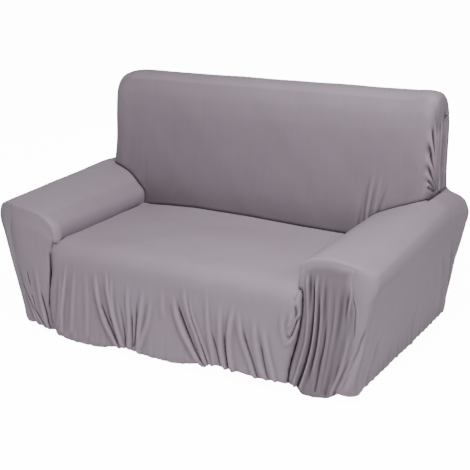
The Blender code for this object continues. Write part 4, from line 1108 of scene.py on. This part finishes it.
CREASE_BOW = (          # across, rise, in metres
    (-0.50, 0.0), (-0.47, 0.0), (-0.38, 0.008), (-0.25, 0.014), (0.0, 0.012), (0.25, 0.003), (0.50, 0.0),
)

UNEVEN = (              # height, length across, length upward, phase
    (0.0012, 0.41, 0.37, 0.4), (0.0008, 0.23, 0.29, 1.9), (0.0005, 0.13, 0.17, 3.1),
)

# The fold tables count in millimetres. Each row of one: half width, depth (negative for a groove),
# share over which it grows, share over which it fades, lean (positive: steeper towards + where the
# fold runs down), and its knots.

APRON_TABLE = (         # across, height
    (8, 9, 0.45, 0, 0.2, (-435, 335), (-452, 230), (-472, 120), (-482, 40)),
    (6.5, 6, 0.45, 0, 0.2, (-462, 300), (-478, 162), (-497, 60)),
    (8, 5, 0.45, 0, 0, (-395, 330), (-415, 200), (-436, 48)),
    (9.5, 4, 0.45, 0, 0, (-349, 320), (-354, 185), (-360, 50)),
    (9.5, 12, 0.38, 0, 0.3, (-307, 320), (-292, 196), (-266, 111), (-215, 30)),
    (8, 10, 0.38, 0, 0.3, (-255, 335), (-250, 247), (-232, 153), (-203, 40)),
    (6.5, 7, 0.38, 0, 0.3, (-232, 310), (-233, 218), (-220, 130), (-194, 30)),
    (7, 7, 0.45, 0, 0, (-161, 310), (-165, 219), (-164, 142), (-172, 30)),
    (9.5, 10, 0.38, 0, -0.3, (-98, 290), (-108, 197), (-120, 125), (-130, 30)),
    (8, 6, 0.38, 0, -0.2, (-60, 260), (-82, 158), (-118, 60)),
    (9.5, 4, 0.45, 0.4, 0, (-11, 300), (-15, 234), (-8, 150)),
    (9.5, 12, 0.38, 0, 0.3, (30, 300), (46, 208), (73, 138), (118, 71), (150, 30)),
    (8, 10, 0.45, 0, 0.3, (81, 350), (82, 277), (96, 218), (128, 136), (163, 35)),
    (6.5, 7, 0.38, 0, 0.3, (102, 290), (107, 226), (135, 150), (182, 35)),
    (7, 7, 0.45, 0, 0.2, (171, 340), (170, 250), (176, 159), (193, 50)),
    (8, 8, 0.38, 0, 0.2, (222, 290), (221, 193), (222, 107), (236, 40)),
    (8.5, 10, 0.38, 0, -0.2, (274, 300), (257, 190), (254, 110), (262, 40)),
    (8.5, 9, 0.38, 0, 0.3, (290, 280), (307, 174), (332, 105), (356, 40)),
    (8.5, 7, 0.38, 0, 0.2, (352, 270), (359, 166), (372, 89), (396, 40)),
    (8.5, 8, 0.38, 0, 0.2, (385, 240), (403, 145), (430, 40)),
    (8.5, 6, 0.45, 0.4, 0, (466, 310), (459, 241), (474, 170)),
    (4, -9.2, 0.38, 0, 0, (-298, 233), (-274, 153), (-234, 68), (-206, 30)),
    (3.5, -8, 0.45, 0, 0, (-268, 180), (-248, 138), (-219, 78), (-200, 30)),
    (3.5, -5.7, 0.38, 0, 0, (-205, 220), (-190, 120), (-182, 30)),
    (4, -6.9, 0.38, 0, 0, (-150, 200), (-152, 117), (-154, 40)),
    (4, -6.9, 0.38, 0, 0, (-125, 236), (-133, 148), (-146, 50)),
    (5, -10.3, 0.3, 0, 0, (44, 270), (68, 187), (112, 89), (159, 30)),
    (4, -8, 0.38, 0, 0, (91, 278), (106, 207), (147, 103), (174, 30)),
    (3.5, -6.9, 0.38, 0, 0, (183, 185), (201, 114), (222, 35)),
    (4, -8, 0.38, 0, 0, (236, 190), (238, 109), (248, 35)),
    (4, -6.9, 0.38, 0, 0, (302, 233), (323, 152), (351, 72), (366, 30)),
    (3.5, -5.7, 0.38, 0, 0, (374, 190), (386, 110), (405, 35)),
    (4.5, -8, 0.15, 0.3, 0, (516, 275), (502, 236), (486, 208), (468, 229)),
    (4.5, -7, 0.2, 0.3, 0, (504, 330), (508, 300), (506, 270)),
    (4, -7, 0.2, 0.3, 0, (498, 384), (503, 366), (502, 346)),
    (4, -6, 0.2, 0.3, 0, (488, 372), (494, 352), (506, 338)),
    (5.5, 6, 0.2, 0.3, 0, (494, 300), (488, 262), (474, 240)),
    (5, 5, 0.2, 0.3, 0, (496, 210), (480, 185), (462, 190)),
)

FRONT_TABLE = {         # across, height, on the front of each arm
    1: (
        (3.8, -5, 0.3, 0.5, 0, (551, 452), (551, 380), (550, 320), (544, 250)),
        (4, -11, 0.2, 0, 0, (566, 440), (566, 330), (560, 245), (546, 165), (527, 95), (505, 30)),
        (3.8, -7, 0.3, 0.3, 0, (586, 400), (583, 280), (575, 200), (562, 135), (549, 80), (534, 30)),
        (5, -2, 0.3, 0.5, 0, (609, 452), (604, 359), (601, 250)),
        (3.5, -6, 0.3, 0, 0, (614, 310), (603, 200), (588, 130), (572, 30)),
        (9, -5, 0.3, 0, 0, (672, 445), (655, 300), (632, 160), (608, 30)),
        (4.2, -5, 0.35, 0.5, 0, (693, 420), (680, 345), (674, 270)),
        (5, -10, 0.35, 0.2, 0, (752, 300), (728, 238), (712, 187), (695, 150), (672, 95)),
        (4.2, -9, 0.35, 0, 0, (720, 211), (686, 147), (669, 107), (636, 30)),
        (2.2, -5, 0.1, 0.2, 0, (699, 416), (702, 373), (708, 340), (707, 289), (704, 228)),
        (3.2, -5, 0.4, 0, 0, (662, 170), (645, 100), (620, 30)),
        (3.2, -4, 0.4, 0, 0, (690, 120), (672, 80), (648, 30)),
        (3, -2, 0.3, 0, 0, (640, 420), (634, 300), (618, 180), (594, 30)),
        (6, 9, 0.12, 0, 0, (538, 450), (545, 360), (546, 280), (536, 195), (515, 115), (490, 30)),
        (5.2, 9, 0.15, 0, 0, (574, 450), (574, 330), (568, 245), (555, 165), (538, 95), (520, 30)),
        (7, 6, 0.25, 0.3, 0.2, (597, 450), (594, 300), (587, 215), (574, 135), (552, 30)),
        (9.5, 4, 0.3, 0.3, 0, (625, 440), (620, 300), (610, 180), (585, 30)),
        (10, 5, 0.35, 0.2, 0, (653, 430), (643, 280), (628, 160), (600, 30)),
        (5, 6, 0.15, 0.4, 0, (698, 440), (694, 400), (688, 340), (684, 280)),
        (8.5, 9, 0.3, 0, 0, (694, 290), (684, 220), (668, 150), (650, 95), (624, 30)),
        (9, 6, 0.4, 0, 0, (765, 290), (738, 215), (712, 150), (683, 60)),
        (3.5, 4, 0.2, 0.3, 0, (700, 452), (697, 441), (694, 425)),
    ),
    -1: (
        (3, -6, 0.35, 0.35, 0, (-648, 255), (-640, 209), (-632, 180)),
        (3, -6, 0.35, 0.35, 0, (-636, 164), (-627, 135), (-617, 106)),
        (3.8, -7, 0.4, 0, 0, (-706, 290), (-667, 181), (-626, 94), (-567, 30)),
        (3.8, -7, 0.4, 0, 0, (-696, 230), (-655, 145), (-635, 91), (-590, 30)),
        (3.4, -6, 0.4, 0, 0, (-678, 175), (-659, 117), (-620, 30)),
        (3.4, -5, 0.4, 0, 0, (-668, 110), (-652, 75), (-634, 30)),
        (3.2, -5, 0.35, 0, 0, (-640, 150), (-610, 85), (-575, 25)),
        (4, -7, 0.4, 0, 0, (-590, 200), (-574, 120), (-554, 30)),
        (6, 5, 0.4, 0, 0, (-700, 260), (-660, 165), (-630, 80), (-580, 25)),
        (6, 5, 0.4, 0, 0, (-680, 150), (-652, 90), (-610, 25)),
        (10, 6, 0.5, 0, 0, (-606, 300), (-594, 180), (-582, 100), (-565, 30)),
        (4.5, -18, 0.3, 0.3, 0, (-531, 285), (-541, 192), (-552, 105)),
        (4.5, -6, 0.3, 0.3, 0, (-531, 350), (-533, 300), (-535, 250)),
    ),
}

END_TABLE = (           # depth, height, on the end faces of the back
    (4, -8, 0.3, 0, 0, (620, 600), (663, 572), (705, 550)),
    (4, -11, 0.3, 0, 0, (622, 650), (656, 598), (709, 550)),
    (4, -13, 0.3, 0, 0, (632, 705), (668, 622), (714, 550)),
    (4.2, -14, 0.3, 0, 0, (646, 765), (681, 650), (718, 552)),
    (4.4, -15, 0.3, 0, 0, (668, 810), (698, 680), (722, 552)),
    (4.4, -15, 0.3, 0, 0, (700, 830), (720, 690), (730, 552)),
    (4.4, -14, 0.3, 0, 0, (738, 820), (744, 680), (738, 552)),
    (4.5, 6, 0.3, 0, 0, (621, 625), (660, 585), (707, 550)),
    (4.5, 8, 0.3, 0, 0, (627, 678), (662, 610), (712, 550)),
    (4.8, 10, 0.3, 0, 0, (638, 735), (675, 636), (716, 551)),
    (5, 11, 0.3, 0, 0, (656, 790), (690, 665), (720, 552)),
    (5.5, 11, 0.3, 0, 0, (684, 822), (709, 685), (726, 552)),
    (5.5, 11, 0.3, 0, 0, (720, 830), (732, 685), (734, 552)),
    (5.5, -20, 0.2, 0, 0, (780, 840), (766, 740), (767, 545)),
    (6.5, 11, 0.25, 0, 0, (757, 830), (755, 700), (752, 550)),
    (9, 8, 0.4, 0, 0, (808, 860), (812, 720), (812, 550)),
)

INSIDE_TABLE = (        # across, height, on the inside of the back, above the arms
    (5, -2, 0.6, 0, 0, (461, 590), (461, 493), (459, 415)),
    (5, -2.8, 0.6, 0, 0, (484, 620), (474, 565), (473, 501), (479, 440)),
    (4.5, -2.5, 0.6, 0, 0, (502, 600), (497, 530), (494, 491), (495, 445)),
    (5, -2.5, 0.6, 0, 0, (552, 590), (540, 535), (533, 509), (527, 475)),
    (6, 2.2, 0.5, 0, 0, (490, 640), (486, 528), (487, 445)),
    (7, 2.2, 0.5, 0, 0, (522, 620), (514, 530), (510, 460)),
    (6, -0.8, 0.5, 0, 0, (-530, 600), (-520, 520), (-508, 440)),
)

SIDE_TABLE = (          # depth, height, on the outer sides of the arms
    (20, 3, 0.4, 0.3, 0, (560, 400), (660, 260), (740, 80)),
    (18, 4, 0.4, 0.3, 0, (660, 410), (750, 270), (810, 80)),
    (16, 4, 0.4, 0.3, 0, (750, 420), (815, 290), (850, 80)),
    (12, -3, 0.4, 0.3, 0, (620, 380), (710, 250), (780, 60)),
    (12, -4, 0.4, 0.3, 0, (710, 400), (790, 270), (832, 70)),
    (20, 4, 0.5, 0, 0, (120, 300), (90, 160), (50, 30)),
    (12, -4, 0.5, 0, 0, (150, 260), (120, 140), (85, 30)),
    (14, 3, 0.5, 0, 0, (300, 180), (290, 100), (275, 30)),
    (14, 3, 0.5, 0, 0, (480, 200), (490, 110), (495, 30)),
)

REAR_TABLE = (          # across, height, on the outside of the back
    (20, 4, 0.5, 0, 0, (-440, 330), (-455, 180), (-470, 30)),
    (12, -4, 0.5, 0, 0, (-395, 280), (-410, 150), (-430, 30)),
    (18, 3, 0.5, 0, 0, (-180, 220), (-185, 120), (-195, 30)),
    (20, 4, 0.5, 0, 0, (90, 260), (95, 140), (110, 30)),
    (12, -3, 0.5, 0, 0, (140, 220), (145, 120), (160, 30)),
    (20, 4, 0.5, 0, 0, (400, 340), (420, 180), (440, 30)),
    (12, -4, 0.5, 0, 0, (455, 300), (470, 150), (485, 30)),
)


def hem_puckers(cloth, along, height):
    """Small gathers that the elastic of the hem draws up."""
    rise = np.clip(np.nan_to_num(cloth.rest[:, :, 2] - HEM_LEVEL), 0.0, 1.0)
    wave = two_waves(along, HEM_PITCH, share=0.7, ratio=1.63, phase=0.8)
    return height * wave * np.exp(-rise / HEM_REACH)


def lay_folds(cloth, amount, uneven):
    """Push folds and slow unevenness into the cloth, then sew it."""
    cloth.push(amount + np.nan_to_num(uneven))
    cloth.normals = cloth.find_normals()
    sew(cloth)


def lay_seat():
    return FineCloth(SeatPanel(), SEAT_CELLS, (0, SeatPanel.columns), (SeatPanel.rows,))


def dress_seat(cloth):
    X, Y, Z = (cloth.rest[:, :, axis] for axis in range(3))
    front = soft((TUCK_ROWS + APRON_FADE - cloth.rows) / APRON_FADE)
    low = Z - np.clip(Y - APRON_FRONT, 0.0, HEM_RADIUS * 2) * (cloth.rows < TUCK_ROWS - 1)
    inner = soft(cloth.seam_distance / FINE_EDGE)
    amount = fold_table(X, low, APRON_TABLE) * front * inner
    amount += hem_puckers(cloth, X, APRON_PUCKERS) * front * inner
    cloth.relief = np.nan_to_num(amount)
    lay_folds(cloth, cloth.relief, ripple(X, Y + Z) * inner)


def lay_back():
    panel = BackPanel()
    left, right = panel.side_columns - CENTRE_COLUMNS, panel.side_columns + CENTRE_COLUMNS
    tight = (0, left, right, panel.columns,
             panel.side_columns - panel.flat_columns, panel.side_columns + panel.flat_columns)
    finer = {index: BACK_OUTER_CELL for index in (*range(left + 1), *range(right - 1, panel.columns))}
    finer.update({index: BACK_END_CELL for index in range(panel.columns - END_STEPS - 1, panel.columns)})
    finer_rows = {index: BACK_RISE_CELL for index in range(LOWER_BACK_ROWS + RISE_ROWS)}
    cloth = FineCloth(panel, BACK_CELLS, tight, (0, LOWER_BACK_ROWS, panel.rear_start), finer, finer_rows)
    cloth.blur = BACK_BLUR
    return cloth


def dress_back(cloth):
    X, Y, Z = (cloth.rest[:, :, axis] for axis in range(3))
    inner = soft(cloth.seam_distance / WIDE_EDGE)
    to_right, to_rear = cloth.normals[:, :, 0], cloth.normals[:, :, 1]
    ends = facing(to_right, RIGHT_END) + LEFT_RAYS * facing(-to_right, LEFT_END)
    inside = facing(-to_rear, BROAD_FACE) * (cloth.rows < LOWER_BACK_ROWS + UPPER_ROWS)
    outside = facing(to_rear, BROAD_FACE)
    rays = np.nan_to_num(fold_table(Y, Z, END_TABLE) * ends)
    amount = fold_table(X, Z, REAR_TABLE) * outside * inner
    amount += hem_puckers(cloth, X, HEM_PUCKERS) * outside * inner
    open_folds = np.nan_to_num(fold_table(X, Z, INSIDE_TABLE) * inside)
    amount = np.nan_to_num(amount)
    # the relief that the painted shade is taken from, with the open folds fainter and the rays darker than
    # their heights
    cloth.relief = amount + open_folds * OPEN_FOLD_SHADE + rays * RAY_SHADE
    lay_folds(cloth, amount + open_folds + rays * RAY_HEIGHT, ripple(X, Y + Z) * inner)


def lay_arm(side):
    return FineCloth(ArmPanel(side), ARM_CELLS, (0, BACK_COLUMN, ArmPanel.columns), (0, END_ROW))


def dress_arm(cloth):
    side = cloth.panel.side
    X, Y, Z = (cloth.rest[:, :, axis] for axis in range(3))
    inner = soft(cloth.seam_distance / WIDE_EDGE)
    to_right, to_rear = cloth.normals[:, :, 0], cloth.normals[:, :, 1]
    front = facing(-to_rear, ARM_FRONT_FACE) * (Y < ARM_FRONT_REACH)
    outer = facing(side * to_right, BROAD_FACE)
    rear = facing(to_rear, ARM_REAR_FACE)
    amount = fold_table(X, Z, FRONT_TABLE[side]) * front * inner
    amount += fold_table(Y, Z, SIDE_TABLE) * outer * inner
    amount += hem_puckers(cloth, Y + side * X, HEM_PUCKERS) * np.clip(outer + rear, 0.0, 1.0) * inner
    cloth.relief = np.nan_to_num(amount)
    lay_folds(cloth, cloth.relief, ripple(Y, X + Z) * inner * ARM_RIPPLE)


def lay_front(side):
    return FineCloth(FrontPanel(side), FRONT_CELLS, (0, FrontPanel.columns), (FrontPanel.rows,))


def dress_front(cloth):
    side = cloth.panel.side
    X, Z = cloth.rest[:, :, 0], cloth.rest[:, :, 2]
    inner = soft(cloth.seam_distance / FINE_EDGE)
    amount = np.nan_to_num(fold_table(X, Z, FRONT_TABLE[side]) * inner)
    # the relief that the painted shade is taken from, fainter on the right front and stronger on the left
    cloth.relief = amount * FRONT_FOLD_SHADE[side]
    lay_folds(cloth, amount, ripple(X, Z) * inner)


# ---------------------------------------------------------------- material

def add_node(tree, kind, values, **settings):
    """A node with its settings and the values of its inputs."""
    node = tree.nodes.new(kind)
    for key, value in settings.items():
        setattr(node, key, value)
    set_inputs(node, values)
    return node


def set_inputs(node, values):
    for key, value in values.items():
        node.inputs[key].default_value = value


def connect(tree, *joints):
    """Links, each from one node's output to another node's input."""
    for source, output, node, socket in joints:
        tree.links.new(source.outputs[output], node.inputs[socket])


def add_ramp(tree, *stops):
    """A colour ramp: the colours at its first place, at its last, and then at any between them."""
    ramp = tree.nodes.new('ShaderNodeValToRGB')
    elements = ramp.color_ramp.elements
    for element, (place, colour) in zip(elements, stops):
        element.position = place
        element.color = (*colour, 1.0)
    for place, colour in stops[2:]:
        elements.new(place).color = (*colour, 1.0)
    return ramp


def multiplied(tree, first, first_output, second, second_output):
    """The product of two colours."""
    product = add_node(tree, 'ShaderNodeMix', {"Factor": 1.0}, data_type='RGBA', blend_type='MULTIPLY')
    connect(tree, (first, first_output, product, "A"), (second, second_output, product, "B"))
    return product


def jersey(name):
    """Fine stretch jersey: ribs and courses, soft streaks, sheen, and painted shade in its grooves with
    painted highlights on its ridges.
    """
    material = bpy.data.materials.new(name)
    material.use_nodes = True
    tree = material.node_tree
    shader = tree.nodes["Principled BSDF"]
    set_inputs(shader, {"Roughness": 0.66, "Specular IOR Level": 0.35, "Sheen Weight": 0.12,
                        "Sheen Roughness": 0.40, "Sheen Tint": (0.90, 0.87, 0.92, 1.0)})

    flat = add_node(tree, 'ShaderNodeUVMap', {}, uv_map="cloth")
    spot = add_node(tree, 'ShaderNodeTexCoord', {})
    stretched = add_node(tree, 'ShaderNodeMapping', {"Scale": (60.0, 7.0, 1.0)})
    streaks = add_node(tree, 'ShaderNodeTexNoise', {"Scale": 1.0, "Detail": 4.0})
    streak_tone = add_node(tree, 'ShaderNodeMapRange', {"To Min": 0.945, "To Max": 1.055})
    patches = add_node(tree, 'ShaderNodeTexNoise', {"Scale": 4.0, "Detail": 2.0})
    tint = add_ramp(tree, (0.30, [part * share for part, share in zip(TONE, (0.98, 0.97, 0.97))]),
                    (0.70, [part * share for part, share in zip(TONE, (1.02, 1.03, 1.03))]))
    connect(tree, (flat, "UV", stretched, "Vector"), (stretched, "Vector", streaks, "Vector"),
            (streaks, "Fac", streak_tone, "Value"), (spot, "Object", patches, "Vector"),
            (patches, "Fac", tint, "Fac"))
    streaked = multiplied(tree, tint, "Color", streak_tone, "Result")

    # painted light and shade: ridges painted lighter as a highlight, grooves, seams and corners painted
    # darker as shade
    painted_shade = add_node(tree, 'ShaderNodeAttribute', {}, attribute_name="painted_shade")
    shade = add_ramp(tree, (0.15, (1.12, 1.12, 1.12)), (1.0, (0.13, 0.12, 0.13)),
                     (0.5, (1.0, 1.0, 1.0)), (0.8, (0.54, 0.54, 0.54)))
    connect(tree, (painted_shade, "Fac", shade, "Fac"))
    shaded = multiplied(tree, streaked, "Result", shade, "Color")

    ribs = add_node(tree, 'ShaderNodeTexWave', {"Scale": KNIT_RIBS, "Distortion": 0.6, "Detail": 1.0},
                    bands_direction='X')
    courses = add_node(tree, 'ShaderNodeTexWave', {"Scale": KNIT_COURSES, "Distortion": 0.6},
                       bands_direction='Y')
    knit = add_node(tree, 'ShaderNodeMath', {}, operation='MULTIPLY')
    bump = add_node(tree, 'ShaderNodeBump', {"Strength": 0.25, "Distance": 0.0003})
    soft_bump = add_node(tree, 'ShaderNodeBump', {"Strength": 0.30, "Distance": 0.0012})
    connect(tree, (flat, "UV", ribs, "Vector"), (flat, "UV", courses, "Vector"),
            (ribs, "Fac", knit, 0), (courses, "Fac", knit, 1), (knit, "Value", bump, "Height"),
            (streaks, "Fac", soft_bump, "Height"), (bump, "Normal", soft_bump, "Normal"),
            (soft_bump, "Normal", shader, "Normal"), (shaded, "Result", shader, "Base Color"))
    return material


# ---------------------------------------------------------------- stage

LAMPS = (               # name, place, target, size of its square, power
    ("key", (0.9, -1.65, 1.60), (0.1, -0.75, -0.5), 0.8, 96.0),
    ("rear", (-1.6, 3.4, 0.1), (0.0, 0.2, -0.4), 1.6, 80.0),
    ("far_side", (-3.4, 0.4, 0.1), (-0.6, -0.2, -0.5), 1.4, 20.0),
    ("fill", (-1.0, -3.6, 0.2), (0.0, -0.5, -0.7), 1.6, 10.0),
    ("side", (3.2, -0.3, 1.6), (0.4, -0.2, -0.5), 1.0, 27.0),
)


def link_object(name, data):
    item = bpy.data.objects.new(name, data)
    bpy.context.scene.collection.objects.link(item)
    return item


def make_floor():
    """A pale floor that glows towards the camera and hardly lights the cloth."""
    mesh = bpy.data.meshes.new("floor")
    level = FLOOR_LEVEL - HANG.z
    corners = ((-1, -1), (1, -1), (1, 1), (-1, 1))
    mesh.from_pydata([(x * FLOOR_HALF, y * FLOOR_HALF, level) for x, y in corners], [], [(0, 1, 2, 3)])
    pale = bpy.data.materials.new("pale_floor")
    pale.use_nodes = True
    tree = pale.node_tree
    surface = tree.nodes["Principled BSDF"]
    set_inputs(surface, {"Base Color": (0.92, 0.92, 0.92, 1.0), "Roughness": 0.9, "Emission Color": WHITE})
    path = add_node(tree, 'ShaderNodeLightPath', {})
    glow = add_node(tree, 'ShaderNodeMath', {1: FLOOR_GLOW, 2: FLOOR_BOUNCE}, operation='MULTIPLY_ADD')
    connect(tree, (path, "Is Camera Ray", glow, 0), (glow, "Value", surface, "Emission Strength"))
    mesh.materials.append(pale)
    return link_object("floor", mesh)


def make_world():
    """A surround as pale as the floor to the camera, and faint as a light."""
    world = bpy.data.worlds.new("studio")
    bpy.context.scene.world = world
    world.use_nodes = True
    tree = world.node_tree
    seen = tree.nodes["Background"]
    set_inputs(seen, {"Color": WHITE, "Strength": FLOOR_GLOW})
    fill = add_node(tree, 'ShaderNodeBackground', {"Color": WHITE, "Strength": WORLD_FILL})
    path = add_node(tree, 'ShaderNodeLightPath', {})
    either = add_node(tree, 'ShaderNodeMixShader', {})
    connect(tree, (path, "Is Camera Ray", either, 0), (fill, 0, either, 1), (seen, 0, either, 2),
            (either, 0, tree.nodes["World Output"], "Surface"))


def aim(place, target):
    return (Vector(target) - Vector(place)).to_track_quat('-Z', 'Y')


def make_stage():
    floor = make_floor()
    make_world()
    for name, place, target, size, power in LAMPS:
        lamp = bpy.data.lights.new(name, 'AREA')
        lamp.shape = 'RECTANGLE'
        lamp.size = lamp.size_y = size
        lamp.energy = power
        item = link_object(name, lamp)
        item.location = place
        item.rotation_euler = aim(place, target).to_euler()


def make_camera():
    lens = bpy.data.cameras.new("camera")
    lens.sensor_width = CAMERA_SENSOR
    lens.lens = CAMERA_LENS
    lens.clip_end = CAMERA_SIGHT
    camera = link_object("camera", lens)
    roll = Quaternion(Z_UP, math.radians(CAMERA_ROLL))
    camera.rotation_mode = 'QUATERNION'
    camera.rotation_quaternion = aim(CAMERA_PLACE, CAMERA_TARGET) @ roll
    camera.location = CAMERA_PLACE
    bpy.context.scene.camera = camera


# ---------------------------------------------------------------- putting it together

LAYING_ORDER = (ArmPanel, BackPanel, SeatPanel, FrontPanel)


def main():
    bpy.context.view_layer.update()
    jobs = [("back_cloth", "back_panel", lay_back(), dress_back, 2.17, (1.55, 2.30)),
            ("seat_cloth", "seat_panel", lay_seat(), dress_seat, 1.05, (1.10, 1.10))]
    for side, word in ((-1, "left"), (1, "right")):
        jobs.append(("arm_cloth_" + word, "arm_panel_" + word, lay_arm(side), dress_arm, 0.74, (1.30, 0.95)))
        jobs.append(("arm_front_cloth_" + word, "arm_front_" + word, lay_front(side), dress_front,
                     0.11, (0.34, 0.50)))
    cloths = [job[2] for job in jobs]
    laid = sorted(cloths, key=lambda cloth: LAYING_ORDER.index(type(cloth.panel)))
    for number, cloth in enumerate(laid):
        if isinstance(cloth.panel, ArmPanel):
            cloth.relax()
        elif not isinstance(cloth.panel, FrontPanel):
            cloth.bow()
        cloth.snap(laid[:number])
    for cloth in cloths:
        cloth.meet(cloths)
    for name, node, cloth, dress, area, flat in jobs:
        dress(cloth)
        piece = cloth.build(name, jersey(name))
        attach(piece, "root")
        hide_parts(node)
    make_stage()
    make_camera()


main()
